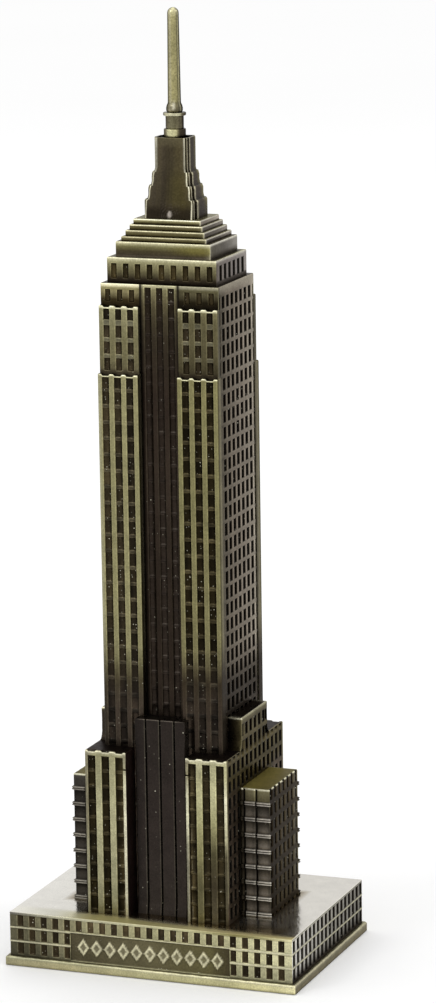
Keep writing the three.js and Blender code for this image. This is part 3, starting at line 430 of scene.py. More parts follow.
def patinated(name, colour=None, roughness=0.36, metallic=0.85, wear_and_shade=0.85, spotted=0.9, mottle=1.0, satin=False, sheen=0.3, graze=0.5):
    """Cast brass: mottled patina, dark in the corners, rubbed bright along the edges, with specks."""
    graph = Graph(name)
    base = linear(colour) if colour else graph.attribute("tint", "Color")
    broad = graph.remap(graph.noise(240, 5), 0.3, 0.7, 1 - 0.16 * mottle, 1 + 0.14 * mottle)
    fine = graph.remap(graph.noise(2300, 3), 0.3, 0.7, 1 - 0.2 * mottle, 1 + 0.18 * mottle)
    grime = graph.attribute("grime", "Fac")
    shade = graph.math("MULTIPLY", broad, fine)
    shade = graph.math("MULTIPLY", shade, graph.remap(grime, 0.0, 1.0, 1.0, 0.4))
    tone = graph.mix("MULTIPLY", 1.0, base, shade)
    level = graph.node("ShaderNodeRGBToBW")
    graph.link(base, level.inputs["Color"])
    lightness = level.outputs["Val"]
    edge = graph.math("MULTIPLY", graph.attribute("wear", "Fac"), graph.remap(lightness, 0.015, 0.1, 0.12, 1.0))
    rubbed = graph.math("MULTIPLY", edge, graph.remap(graph.noise(900, 4), 0.35, 0.6, 0.3, 1.0))
    bright = graph.mix("MULTIPLY", 1.0, tone, (2.4, 2.4, 2.35, 1))
    bright = graph.mix("MIX", 0.2, bright, linear(BRASS_PALE))
    tone = graph.mix("MIX", graph.math("MULTIPLY", rubbed, wear_and_shade), tone, bright)
    if spotted:
        crowd = graph.remap(graph.noise(90, 2), 0.42, 0.58, 0.15, 1.0)
        dark = graph.math("MULTIPLY", graph.remap(lightness, 0.02, 0.1, 1.0, 0.3), crowd)
        spot = graph.math("MULTIPLY", specks(graph, 760, 0.15, 0.24), dark)
        corner = graph.math("MULTIPLY", specks(graph, 1300, 0.26, 0.4), graph.remap(grime, 0.1, 0.5, 0.0, 0.9))
        corner = graph.math("MULTIPLY", corner, crowd)
        spot = graph.math("MULTIPLY", graph.math("MAXIMUM", spot, corner), spotted)
        tone = graph.mix("MIX", spot, tone, linear((228, 223, 200)))
    graph.link(tone, graph.shader.inputs["Base Color"])
    rough = graph.remap(graph.noise(600, 3), 0.3, 0.7, roughness - 0.06, roughness + 0.08)
    rough = graph.math("SUBTRACT", rough, graph.math("MULTIPLY", rubbed, 0.08))
    graph.shader.inputs["Metallic"].default_value = metallic
    if satin:
        worn_dull = graph.attribute("satin", "Fac")
        rough = graph.math("MAXIMUM", rough, graph.math("MULTIPLY", worn_dull, 0.45))
        graph.link(graph.remap(worn_dull, 0.0, 1.0, metallic, 0.5), graph.shader.inputs["Metallic"])
    graph.link(rough, graph.shader.inputs["Roughness"])
    graph.shader.inputs["Specular Tint"].default_value = (graze, graze, graze, 1)
    graph.shader.inputs["Specular IOR Level"].default_value = sheen
    rise = graph.math("MULTIPLY", graph.noise(350, 2), 1.5)
    graph.bump(graph.math("ADD", graph.noise(1500, 3), rise), 0.25, 0.00012)
    return graph.material


def steel(name):
    graph = Graph(name)
    tone = graph.mix("MIX", graph.remap(graph.noise(900, 4), 0.3, 0.7, 0, 1), linear((150, 152, 155)), linear((96, 98, 100)))
    graph.link(tone, graph.shader.inputs["Base Color"])
    graph.link(graph.remap(graph.noise(700, 3), 0.3, 0.7, 0.25, 0.42), graph.shader.inputs["Roughness"])
    graph.shader.inputs["Metallic"].default_value = 1.0
    graph.bump(graph.noise(4000, 2, (1, 1, 0.1)), 0.2, 0.00003)
    return graph.material


def felt(name):
    graph = Graph(name)
    fuzz = graph.noise(2600, 6)
    tone = graph.mix("MIX", graph.remap(fuzz, 0.3, 0.7, 0, 1), linear((22, 25, 22)), linear((52, 58, 50)))
    graph.link(tone, graph.shader.inputs["Base Color"])
    graph.link(graph.remap(graph.noise(500, 3), 0.3, 0.7, 0.85, 1.0), graph.shader.inputs["Roughness"])
    graph.shader.inputs["Sheen Weight"].default_value = 0.3
    graph.bump(fuzz, 0.6, 0.0002)
    return graph.material


CAST = patinated("antique_brass")
DARK = patinated("dark_patina", roughness=0.3, metallic=0.75)
SIDE = patinated("side_patina", roughness=0.3, metallic=0.9, wear_and_shade=0.5, satin=True, sheen=0.1)
GLOSSY = patinated("polished_deck", None, 0.13, 0.98, 0.3, 0.0, 0.3, satin=True, sheen=0.1, graze=0.8)
TURNED = patinated("turned_brass", roughness=0.28, wear_and_shade=0.3, spotted=0.3, mottle=1.4)
HIDDEN = patinated("plain_brass", colour=BRASS)
STEEL = steel("zinc_steel")
FELT = felt("black_felt")


# Plinth


def lip():
    skin = Skin()

    def long_side(w, z):
        # Painted light: lighter towards the right end, with a painted highlight along the rounded top; darker towards
        # the foot.
        middle = ramp(w, (-38, (166, 160, 126)), (-24, (184, 176, 136)), (0, (194, 189, 146)), (24, (214, 208, 158)), (38, (230, 223, 176)))
        rim = ramp(w, (-38, (150, 148, 120)), (-20, (158, 155, 124)), (0, (192, 188, 154)), (38, (202, 197, 163)))
        colour = over(middle, rim, soft(z - 1.85, 0.5))
        return np.zeros_like(w), over(colour, (112, 106, 74), soft(0.45 - z, 0.4) * 0.7)

    def short_side(w, z):
        # Darker at the foot, growing lighter up to a painted highlight along the top edge.
        colour = ramp(z, (0.2, (90, 84, 60)), (0.6, (142, 133, 107)), (1.3, (135, 127, 102)), (1.9, (153, 147, 122)), (2.3, (175, 169, 142)))
        return np.zeros_like(w), colour

    def top(x, y):
        # Painted shade along the foot of the plinth, fading out towards the outer edge.
        inside = np.maximum(np.abs(x) - PLINTH_X, np.abs(y) - PLINTH_Y)
        shade = ramp(inside, (0.0, (66, 60, 40)), (0.35, (128, 122, 92)), (0.8, (186, 182, 150)))
        return np.zeros_like(x), over(shade, (140, 135, 112), soft(np.abs(x) - PLINTH_X, 0.6) * 0.6)

    faces = {"front": long_side, "back": long_side, "right": short_side, "left": short_side, "top": top}
    xs = [side * (PLINTH_X + part) for side in (-1, 1) for part in (0.0, 0.35)]
    ys = [side * (PLINTH_Y + part) for side in (-1, 1) for part in (0.0, 0.35)]
    box = (-LIP_X, LIP_X, -LIP_Y, LIP_Y, LIP_BOTTOM, LIP_TOP)
    skin.block(box, 0.5, faces, xs, ys, [0.5, 0.8, 1.3, 1.7], widest=1.0, warp=dented)
    x, y = np.meshgrid([LIP_X - 0.1, -LIP_X + 0.1], [-LIP_Y + 0.1, LIP_Y - 0.1], indexing="ij")
    skin.grid(np.stack([x, y, np.full_like(x, LIP_BOTTOM)], -1), coat(x, BRASS))
    skin.piece("lip_casting", CAST, "rubbed_brass", ["bottom_plate"])


def lozenges(w, z):
    """A plain row of raised diamonds fills the field."""
    across = np.abs(fold(w, LOZENGE_PITCH, LOZENGES))
    up = np.abs(z - (FIELD_BOTTOM + FIELD_TOP) / 2)
    ring = LOZENGE_HALF - (across * 0.62 + up * 0.45)
    return soft(ring, 0.35) - 0.7 * soft(ring - 0.5, 0.35)


def plinth_face(pitch, count, field, piers):
    width, height, deep = PLINTH_WINDOW

    def face(w, z):
        opening = width / 2 - np.abs(fold(w, pitch, count))
        row = fold(z - PLINTH_ROW_MIDDLE, PLINTH_ROW_PITCH, PLINTH_ROWS)
        opening = np.minimum(opening, height / 2 - np.abs(row))
        inside = np.minimum(FIELD_X - np.abs(w), between(z, FIELD_BOTTOM, FIELD_TOP)) if field else w * 0 - 9
        opening = np.minimum(opening, -inside - 0.3)
        hole, dark, bare = soft(opening), soft(opening + (0.06 if field else 0.16)), soft(inside)
        line = soft(0.2 - np.abs(fold(z - PLINTH_ROW_MIDDLE, PLINTH_ROW_PITCH, 2)), 0.2) * (1 - bare)
        colour = piers(w, z)
        spandrel = soft(height / 2 - 0.1 - np.abs(row), 0.3)
        colour = over(colour, colour * 0.86, (1 - spandrel) * (1 - line))
        colour = over(colour, (205, 200, 170), line * 0.85)
        cell = chance(w / pitch, (z - PLINTH_ROW_MIDDLE) / PLINTH_ROW_PITCH)[..., None]
        # Window openings: their own patina with painted shade, near black on the short sides.
        window_patina_and_shade = coat(w, (80, 69, 49)) * (0.75 + 0.5 * cell) if field else coat(w, SHADOW_BLACK)
        # Painted shadow along the foot of the short sides.
        colour = colour if field else over(colour, (54, 46, 38), soft(3.5 - z, 0.7))
        colour = over(colour, window_patina_and_shade, dark)
        field_tone = ramp(w, (-21, (84, 78, 58)), (0, (104, 98, 72)), (16, (100, 94, 62)), (21, (72, 65, 46)))
        colour = over(colour, field_tone, bare)
        raised = lozenges(w, z) * bare if field else hole * 0
        colour = over(colour, (196, 191, 160), raised)
        # The top rim is a painted highlight that changes from one end to the other.
        if field:
            rim = ramp(w, (-38, (84, 81, 74)), (-24, (164, 161, 138)), (10, (178, 174, 136)), (24, (126, 119, 76)), (31, (146, 139, 98)), (37, (206, 200, 158)))
        else:
            rim = ramp(w, (-27, (226, 222, 206)), (0, (190, 186, 170)), (27, (150, 146, 134)))
        colour = over(colour, rim, soft(z - 13.25, 0.3))
        return deep * hole + FIELD_DEPTH * bare - 0.26 * raised - 0.06 * line, colour

    return face


def plinth():
    def long_piers(w, z):
        # Painted light: the piers grow lighter from the left end to the right end; darker towards the bottom.
        tone = ramp(
            w,
            (-38, (92, 88, 69)),
            (-33, (98, 94, 73)),
            (-24, (143, 138, 108)),
            (-14, (160, 155, 120)),
            (8, (176, 171, 132)),
            (17, (184, 180, 141)),
            (27, (208, 204, 162)),
            (38, (218, 213, 172)),
        )
        return over(tone, tone * 0.8, soft(6.0 - z, 3))

    # Painted highlight: the short sides are near white at the front, growing darker towards the back.
    side_piers = lambda w, z: ramp(w, (-27, (252, 248, 240)), (-14, (216, 212, 204)), (0, (180, 176, 167)), (27, (140, 136, 128)))
    rows = edges_of(spread(PLINTH_ROW_MIDDLE, PLINTH_ROW_PITCH, PLINTH_ROWS), PLINTH_WINDOW[1])
    rows += spread(PLINTH_ROW_MIDDLE, PLINTH_ROW_PITCH, 2) + edge(13.25, FIELD_BOTTOM, FIELD_TOP)
    fine = list(np.arange(-FIELD_X, FIELD_X, 0.45))
    middles = spread(0, PLINTH_FRONT_PITCH, PLINTH_FRONT_COLUMNS)
    front_x = edges_of(middles, PLINTH_WINDOW[0]) + edge(-FIELD_X, FIELD_X) + fine
    side_y = edges_of(spread(0, PLINTH_SIDE_PITCH, PLINTH_SIDE_COLUMNS), PLINTH_WINDOW[0])
    box = (-PLINTH_X, PLINTH_X, -PLINTH_Y, PLINTH_Y, LIP_TOP - 0.3, PANEL_TOP)
    front = plinth_face(PLINTH_FRONT_PITCH, PLINTH_FRONT_COLUMNS, True, long_piers)
    side = plinth_face(PLINTH_SIDE_PITCH, PLINTH_SIDE_COLUMNS, False, side_piers)
    for name, face in (("front", front), ("back", front), ("right", side), ("left", side)):
        skin = Skin()
        dense = list(np.arange(3.0, 9.6, 0.3)) if face is front else []
        skin.block(box, 0.25, {name: face}, front_x, side_y, rows + dense)
        skin.piece(f"plinth_{name}", CAST, "rubbed_brass", [f"plinth_{name}_panel"])


def deck():
    skin = Skin()

    front_edge = lambda x: np.interp(x, (-12, 0, 12, 24), (22.0, 23.5, 23.9, 24.8))

    def foot(x, y):
        """The deck is pale, a little lighter at the left end, and darker and browner close to the walls: dirt, and
        painted shade and reflection of the walls.
        """
        tone = ramp(x, (-38, (235, 232, 224)), (-20, (226, 223, 214)), (20, (220, 216, 207)))
        beside = np.maximum(np.abs(x) - 26.3, np.abs(y) - 10.4)
        ahead = np.maximum(np.abs(x) - 18.9, np.abs(y) - 20.9)
        # Dirt with painted shade and reflection close to the walls.
        return over(tone, (98, 80, 46), soft(1.6 - np.minimum(beside, ahead + 0.8), 2.6) * 0.75)

    def top(x, y):
        # Painted sheen: a golden band along the front edge, changing from one end to the other.
        front = soft(-y - front_edge(x) + 0.6, 2.6)
        gold_sheen = ramp(x, (-38, (242, 239, 228)), (-26, (206, 203, 184)), (-16, (184, 174, 120)), (0, (194, 184, 130)), (14, (206, 194, 144)), (38, (196, 182, 128)))
        # Painted reflection and shade of the front right pavilion and wing darken the deck in front of them.
        shade = soft(x - 8, 8) * soft(34 - x, 4) * soft(-y - 19, 5)
        tone = foot(x, y) * (1 - shade[..., None] * (1 - np.array((0.87, 0.81, 0.7))))
        return np.zeros_like(x), over(tone, gold_sheen, front)

    # Painted light: the long rims go from dark at the left end to light at the right; the short rims are a painted
    # highlight along the top over painted shade below.
    long_rim = lambda w, z: (np.zeros_like(w), ramp(w, (-38, (106, 103, 96)), (-31, (150, 147, 130)), (-24, (188, 185, 160)), (10, (202, 197, 154)), (24, (130, 123, 78)), (38, (224, 218, 174))))
    short_rim = lambda w, z: (np.zeros_like(w), ramp(z, (DECK_TOP - 0.3, (40, 36, 30)), (DECK_TOP - 0.12, (226, 222, 208))))
    faces = {"front": long_rim, "back": long_rim, "right": short_rim, "left": short_rim, "top": top}
    box = (-PLINTH_X, PLINTH_X, -PLINTH_Y, PLINTH_Y, PANEL_TOP - 0.05, DECK_TOP)
    skin.block(box, 0.15, faces, [], [], [DECK_TOP - 0.3, DECK_TOP - 0.18], widest=1.2)
    piece = skin.piece("deck", GLOSSY, "rubbed_brass", ["deck_plate"])
    dull = [float(soft(-v.co.y / MM - front_edge(v.co.x / MM), 2.6) * soft(v.co.x / MM + 22, 8)) for v in piece.data.vertices]
    piece.data.attributes.new("satin", "FLOAT", "POINT").data.foreach_set("value", dull)


# Shaft


def strip_edges(middle, pitch, width):
    return edges_of(spread(middle, pitch, 3), width)


def lower_face(w, z):
    """Tall ribs with dark strips of windows between them; the patina thickens towards the foot."""
    u = np.abs(w)
    strip = STRIP_WIDTH / 2 - np.abs(fold(u - STRIP_MIDDLE, STRIP_PITCH, 3))
    strip = np.minimum(strip, 150.0 - z)
    floor = (z - 150.3) % FLOOR
    bar = soft(between(floor, 0.0, 1.1), 0.3)
    hole, dark = soft(strip), soft(strip + 0.06)
    right = soft(w, 2.0)
    # The rib heads at the top are a painted highlight.
    ribs = ramp(
        z,
        (66, (66, 57, 48)),
        (70, (68, 60, 48)),
        (74, (72, 65, 47)),
        (78, (106, 101, 72)),
        (82, (134, 129, 94)),
        (94, (139, 134, 97)),
        (150.16, (143, 138, 101)),
        (150.64, (216, 212, 176)),
    )
    # Painted shade: the right half of the face is darker than the left.
    wear_and_shade = ramp(z, (66, (60, 51, 42)), (74, (54, 46, 34)), (78, (88, 81, 58)), (83, (119, 114, 80)), (150, (130, 125, 86)))
    ribs = over(ribs, wear_and_shade, right * soft(150.4 - z, 0.4))
    # Painted light along the left corner.
    light = ramp(z, (70, (50, 45, 36)), (80, (118, 113, 92)), (90, (160, 156, 126)))
    ribs = over(ribs, light, soft(-w - 15.0, 0.6) * 0.8)
    cell = chance(u / STRIP_PITCH, (z - 149.4) / FLOOR)[..., None]
    floors = ramp(z, (70, (57, 49, 41)), (84, (46, 39, 22))) * (0.75 + 0.6 * cell)
    # Painted light: the floors and bars of the strips are lighter on the left half, and the floors beside the centre
    # bay are lightened against its shadow.
    left = soft(-w - 4, 2) * soft(z - 76, 10)
    floors = over(floors, coat(w, (52, 46, 37)) * (0.75 + 0.5 * cell), 0.6 * left)
    floors = floors * (1 + left * (0.15 + 0.3 * soft(-w - 9, 1) + 0.3 * soft(-w - 12, 1)))[..., None]
    floors = floors * (1 + 0.6 * soft(9.0 - u, 0.8) * soft(68 - z, 6))[..., None]
    bars = ramp(z, (70, (52, 46, 39)), (84, (90, 81, 56))) * (0.7 + 0.55 * cell)
    bars = over(bars, coat(w, (104, 96, 80)) * (0.8 + 0.4 * cell), 0.5 * left)
    # Painted highlights on some of the bars between the windows.
    lit = soft(0.2 - np.abs(floor - 0.75), 0.2) * soft(strip - 0.15) * np.clip(cell[..., 0] * 2 - 0.6, 0, 1)
    colour = over(ribs, floors, dark)
    colour = over(colour, bars, dark * bar)
    colour = over(colour, (138, 131, 112), lit * 0.55)
    between_heads = soft(STRIP_WIDTH / 2 - 0.3 - np.abs(fold(u - STRIP_MIDDLE, STRIP_PITCH, 3)), 0.3)
    colour = over(colour, (54, 47, 34), between_heads * soft(z - 150.05, 0.2) * 0.95)
    low = 1 - 0.4 * soft(78 - z, 10)
    return (0.8 - 0.35 * bar) * hole * low, colour


def upper_face(w, z):
    """Three columns of windows on the stage above, arched on its top row."""
    u = np.abs(w)
    across = np.abs(fold(u - WINDOW_MIDDLE, WINDOW_PITCH, 3))
    half = 0.74
    top_row = np.minimum(half - across, z - 164.3)
    arch = np.where(z > 166.5, half - np.hypot(across, z - 166.5), top_row)
    others = np.minimum(half - across, 1.43 - np.abs(fold(z - 157.25, 4.08, 3)))
    opening = np.where(z > 163.6, arch, others)
    column = soft(half - across)
    bar = column * soft(164.2 - z) * soft(z - 152.2)
    hole, dark = soft(opening), soft(opening + 0.06)
    # Painted light: the left half is lighter than the right half, and the top edge is a painted highlight.
    left = ramp(z, (151, (52, 45, 34)), (152.5, (108, 102, 74)), (160, (118, 113, 82)), (164, (136, 131, 98)), (166.9, (146, 142, 106)), (167.3, (214, 210, 176)))
    right = ramp(z, (151, (42, 35, 26)), (152.5, (72, 66, 46)), (158, (90, 84, 60)), (164, (96, 90, 64)), (166.9, (120, 114, 82)), (167.3, (214, 210, 176)))
    colour = left + (right - left) * soft(w, 2.0)[..., None]
    colour = over(colour, (150, 145, 122), soft(0.3 - np.abs(opening + 0.25), 0.3) * bar * 0.55)
    cell = chance(u / WINDOW_PITCH, z / 4.08, np.sign(w))[..., None]
    colour = over(colour, (58, 51, 36), soft(half - 0.3 - across, 0.3) * soft(z - 167.35, 0.3) * 0.8)
    # Window openings: their own patina with painted shade, darker on the right half; darker in the arched top row.
    window_patina_and_shade = over(coat(w, (90, 79, 58)), (72, 62, 44), soft(w, 2.0))
    window_patina_and_shade = window_patina_and_shade * (1 - 0.3 * soft(z - 163.6))[..., None]
    colour = over(colour, window_patina_and_shade * (0.75 + 0.5 * cell), dark)
    return 0.75 * hole + 0.22 * bar * (1 - hole), colour


def attic_face(w, z):
    """The attic's windows, and the recessed bay with its three strips and two ribs."""
    u = np.abs(w)
    across = np.abs(fold(u - WINDOW_MIDDLE, WINDOW_PITCH, 3))
    opening = np.minimum(0.63 - across, between(z, 168.8, 171.6))
    strip = BAY_STRIP / 2 - np.abs(fold(w, BAY_PITCH, 3))
    strip = np.minimum(strip, 172.4 - z)
    floor = (z - 172.4) % FLOOR
    bar = soft(between(floor, 0.0, 0.9), 0.3) * 0.5
    hole, dark, sunk = soft(opening), soft(opening + 0.06), soft(strip)
    bay = soft(5.0 - u, 0.4)
    # Darker towards the foot, with a painted highlight along the top edge.
    walls = ramp(z, (167.8, (28, 22, 12)), (169.3, (42, 35, 19)), (170.4, (110, 102, 78)), (172.1, (108, 102, 70)), (172.7, (196, 190, 160)))
    inner = ramp(z, (100, (44, 36, 29)), (125, (54, 45, 37)), (145, (48, 39, 32)), (160, (52, 45, 34)), (165, (70, 63, 46)), (169, (92, 85, 61)), (172, (132, 126, 92)), (172.9, (190, 185, 150)))
    # Painted light: lighter on the left half, darker on the right.
    walls = walls * (1.24 - 0.46 * soft(w, 2))[..., None]
    colour = over(walls, inner, bay)
    colour = over(colour, (92, 80, 54), dark)
    colour = over(colour, ramp(z, (120, (72, 61, 52)), (150, (65, 54, 45)), (168, (66, 56, 42))), sunk)
    cell = chance(w / BAY_PITCH, (z - 172.0) / FLOOR)[..., None]
    colour = over(colour, coat(w, (62, 54, 48)) * (0.8 + 0.4 * cell), sunk * bar)
    arc = soft(0.16 - np.abs(floor - 0.7 - 0.2 * np.cos(fold(w, BAY_PITCH, 3) * 2)), 0.2) * soft(strip - 0.1)
    colour = over(colour, (136, 128, 118), arc * np.clip(cell[..., 0] * 2.2 - 0.9, 0, 1) * 0.7)
    # Painted shadow along each side of the recessed bay.
    colour = over(colour, SHADOW_BLACK, soft(0.3 - np.abs(u - 4.95), 0.3) * 0.8)
    return 0.7 * hole + (0.6 - 0.3 * bar) * sunk, colour


def scallop(middle, pitch, width, top, rise):
    """Rounds the head of each rib, where the stage ends in a row of bumps."""

    def warp(points):
        u = np.abs(points[..., 0])
        across = np.abs(fold(u - middle, pitch, 3))
        notch = soft(width / 2 + 0.1 - across, 0.5)
        shift = rise * notch * soft(points[..., 2] - top + 0.5, 0.8)
        points = points.copy()
        points[..., 2] -= shift
        return points

    return warp


def long_wall(name, mirror):
    skin = Skin()
    attic_x, attic_y, attic_top = ATTIC
    bay_strips = edges_of(spread(0, BAY_PITCH, 3), BAY_STRIP) + edge(-5.0, 5.0)
    windows = strip_edges(WINDOW_MIDDLE, WINDOW_PITCH, 1.26)
    windows += [-line for line in windows]
    floors = edges_of([150.3 - FLOOR * i - 1.48 for i in range(34)], 2.96) + [150.3 - FLOOR * i + 0.75 for i in range(20)]
    floors += edge(150.0) + [150.4, 150.64]
    bars = edges_of([172.4 - FLOOR * i - 1.58 for i in range(28)], 3.16) + edge(168.8, 171.6)
    back = -11.9
    rim = plain((120, 115, 88))
    faces = {"front": attic_face, "right": rim, "left": rim, "top": plain((60, 53, 38))}
    skin.block((-attic_x, attic_x, -attic_y, back, 60, attic_top), 0.25, faces, bay_strips + windows, [], bars)

    def returns(w, z):
        tone = ramp(w, (-14.9, (98, 92, 60)), (-14.2, (82, 76, 48)), (-13.3, (132, 125, 100)), (-12.4, (96, 90, 74)))
        tone = over(tone, (36, 29, 24), soft(80 - z, 12) * 0.8)
        return np.zeros_like(w), over(tone, tone * 0.82, soft(z - 151, 1))

    dark_top = plain((54, 47, 36))
    for sign in (1, -1):
        half, out, top = UPPER
        xs = [sign * e for e in strip_edges(WINDOW_MIDDLE, WINDOW_PITCH, 1.48)]
        zs = edges_of(spread(157.25, 4.08, 3), 2.86) + edge(164.3, 167.1) + [166.7, 152.2]
        ends = sorted([sign * (BAY_X + 0.06), sign * half])
        pad = {"front": upper_face, "right": returns, "left": returns, "top": dark_top}
        warp = scallop(WINDOW_MIDDLE, WINDOW_PITCH, 1.48, top, 0.4)
        skin.block((*ends, -out, back, 150, top), 0.3, pad, xs, [], zs, warp)
        half, out, top = LOWER
        xs = [sign * e for e in strip_edges(STRIP_MIDDLE, STRIP_PITCH, STRIP_WIDTH)] + [sign * 15.0]
        ends = sorted([sign * BAY_X, sign * half])
        pad = {"front": lower_face, "right": returns, "left": returns, "top": dark_top}
        warp = scallop(STRIP_MIDDLE, STRIP_PITCH, STRIP_WIDTH, top, 0.45)
        skin.block((*ends, -out, back, DECK_TOP, top), 0.34, pad, xs, [-14.2, -13.3], floors, warp)
    skin.piece(f"{name}_wall_relief", CAST, "rubbed_brass", [f"{name}_wall"], mirror)


def side_face(w, z):
    """The side walls are a grid of windows, floor above floor."""
    width, height, deep = SIDE_WINDOW
    row = (z - SIDE_TOP_ROW) % FLOOR
    opening = np.minimum(width / 2 - np.abs(fold(w, SIDE_PITCH, 9)), np.minimum(row - (FLOOR - height), FLOOR - row))
    opening = np.minimum(opening, SIDE_TOP_ROW - z)
    # Painted light: the wall grows lighter from the front towards the back.
    colour = ramp(w, (-12, (68, 62, 50)), (-8, (96, 88, 76)), (-4.6, (108, 99, 87)), (5, (126, 117, 105)), (9, (134, 126, 113)), (12, (158, 150, 136))) * 1.25
    spandrel = soft(FLOOR - height - 0.1 - row, 0.3) * soft(171.0 - z, 1)
    colour = over(colour, colour * 0.86, spandrel)
    # A painted highlight along each sill and along the top edge.
    sill = soft(0.3 - np.abs(row - (FLOOR - height) + 0.3), 0.3)
    colour = over(colour, (150, 143, 128), sill * 0.25)
    colour = over(colour, (164, 157, 140), soft(z - 171.3, 0.6) * 0.8)
    colour = over(colour, (48, 41, 34), soft(76 - z, 12) * 0.8)
    seam = soft(-w - 11.5, 0.5) * (0.55 + 0.45 * np.sin(z * 3.1 + np.sin(z * 0.7) * 2))
    colour = over(colour, (34, 28, 20), seam * 0.7)
    # The window openings are painted near black, as shadow.
    colour = over(colour, (4, 2, 1), soft(opening + 0.19))
    return deep * soft(opening), colour


def side_wall(name, mirror):
    skin = Skin()
    rows = edges_of([SIDE_TOP_ROW - FLOOR * i - SIDE_WINDOW[1] / 2 for i in range(28)], SIDE_WINDOW[1])
    columns = edges_of(spread(0, SIDE_PITCH, 9), SIDE_WINDOW[0])
    box = (13, ATTIC[0], -12.4, 12.4, 55, ATTIC[2])
    skin.block(box, 0.2, {"right": side_face, "top": plain((70, 62, 50))}, [], columns, rows)
    skin.piece(f"{name}_wall_relief", SIDE, "dark_patinated_brass", [f"{name}_wall"], mirror)


# Lower buildings


def pavilion_front(left):
    def face(w, z):
        strip = PAVILION_STRIP / 2 - np.abs(fold(w - PAVILION_STRIP_MIDDLE, PAVILION_STRIP_PITCH, 3))
        strip = np.minimum(strip, 54.75 - z)
        floor = (z - 54.4) % FLOOR
        bar = soft(between(floor, 0.0, 1.0), 0.3)
        hole, dark = soft(strip), soft(strip + 0.06)
        notch = soft(np.minimum(8.95 - w, 0.16 - np.abs(z - 51.75)), 0.2)
        inner = soft(9.2 - w, 0.3)
        outer = soft(w - 17.9, 0.3)
        # Painted light: the left-hand and right-hand pavilions are painted as differently lit copies, with painted
        # highlights on the piers, brightest some 40 to 50 mm up, and on the inner and outer corner piers.
        if left:
            colour = ramp(z, (14, (136, 132, 102)), (25, (154, 150, 118)), (40, (176, 172, 136)), (48, (160, 156, 122)), (56, (150, 146, 112)))
            colour = over(colour, ramp(z, (14, (190, 186, 160)), (40, (214, 209, 182)), (50, (200, 196, 164)), (52, (142, 137, 112))), inner)
            colour = over(colour, ramp(z, (14, (140, 136, 110)), (28, (150, 146, 118)), (40, (122, 116, 94)), (56, (126, 121, 100))), outer)
        else:
            colour = ramp(z, (14, (108, 103, 72)), (25, (92, 87, 61)), (32, (130, 125, 87)), (40, (164, 160, 118)), (46, (186, 182, 140)), (52, (168, 164, 126)), (56, (184, 180, 146)))
            far = ramp(z, (14, (94, 88, 68)), (24, (62, 55, 40)), (32, (82, 77, 54)), (37, (130, 125, 90)), (40, (162, 158, 116)), (46, (190, 186, 144)), (56, (170, 166, 130)))
            colour = over(colour, far, soft(w - 13.4, 1))
            colour = over(colour, ramp(z, (14, (142, 138, 118)), (28, (124, 120, 102)), (33, (136, 132, 112)), (40, (218, 215, 184)), (47, (190, 187, 160)), (52, (134, 128, 104))), inner)
            colour = over(colour, ramp(z, (14, (80, 74, 58)), (32, (82, 76, 58)), (36, (180, 175, 142)), (46, (226, 221, 192)), (52, (182, 178, 138))), outer)
        cell = chance(w / PAVILION_STRIP_PITCH, (z - 52.9) / FLOOR, left)[..., None]
        # Window strips: their patina with painted shade, darker on the left-hand pavilions.
        colour = over(colour, coat(w, (54, 46, 27) if left else (70, 61, 40)) * (0.75 + 0.5 * cell), dark)
        colour = over(colour, coat(w, (84, 75, 52)) * (0.7 + 0.5 * cell), dark * bar)
        scratch = soft(0.12 - np.abs(strip - 0.3), 0.14) * soft(38 - z, 6)
        flecks = soft(np.sin(z * 3.7 + w * 1.3) * np.sin(z * 1.31 + w) - 0.15, 0.3)
        colour = over(colour, (150, 143, 122), scratch * flecks * 0.6)
        # The top edge is a painted highlight.
        colour = over(colour, (222, 218, 192), soft(z - 55.75, 0.3) * (1 - dark) * 0.7)
        colour = over(colour, STRIP, notch)
        return (0.9 - 0.25 * bar) * hole + 0.3 * notch, colour

    return face


def block_side(w, z):
    """Rows of windows on the outer sides of the pavilions and of the block between them."""
    width, height, deep = BLOCK_WINDOW
    row = (z - 54.4) % FLOOR
    column = width / 2 - np.abs(fold(w, SIDE_PITCH, 13))
    lower = np.minimum(np.minimum(row - (FLOOR - height), FLOOR - row), 54.4 - z)
    upper = np.maximum(between(z, 55.7, 58.4), between(z, 59.9, 62.6))
    opening = np.minimum(column, np.maximum(lower, upper))
    # Painted shade: dark below the height of the wings, lighter above, with a painted highlight along the top; lighter
    # near the front corner low down, with a painted highlight on that corner.
    colour = ramp(z, (14, (40, 34, 25)), (30, (50, 44, 35)), (38, (32, 26, 17)), (44, (52, 44, 26)), (49, (92, 82, 53)), (55, (88, 79, 53)), (58, (82, 73, 49)), (61, (108, 100, 75)), (63.6, (80, 73, 54)), (64.1, (150, 145, 118)))
    colour = over(colour, (110, 95, 80), soft(-w - 13, 1) * soft(48 - z, 4) * 0.85)
    bars = soft(FLOOR - height + 0.05 - row, 0.3) * soft(54.6 - z, 0.3)
    colour = over(colour, colour * 0.84, bars)
    colour = over(colour, (150, 145, 112), soft(-w - 20.2, 0.4) * soft(z - 20, 6) * 0.8)
    # The window openings are painted near black, as shadow.
    colour = over(colour, (4, 2, 1), soft(opening + 0.2))
    return deep * soft(opening), colour


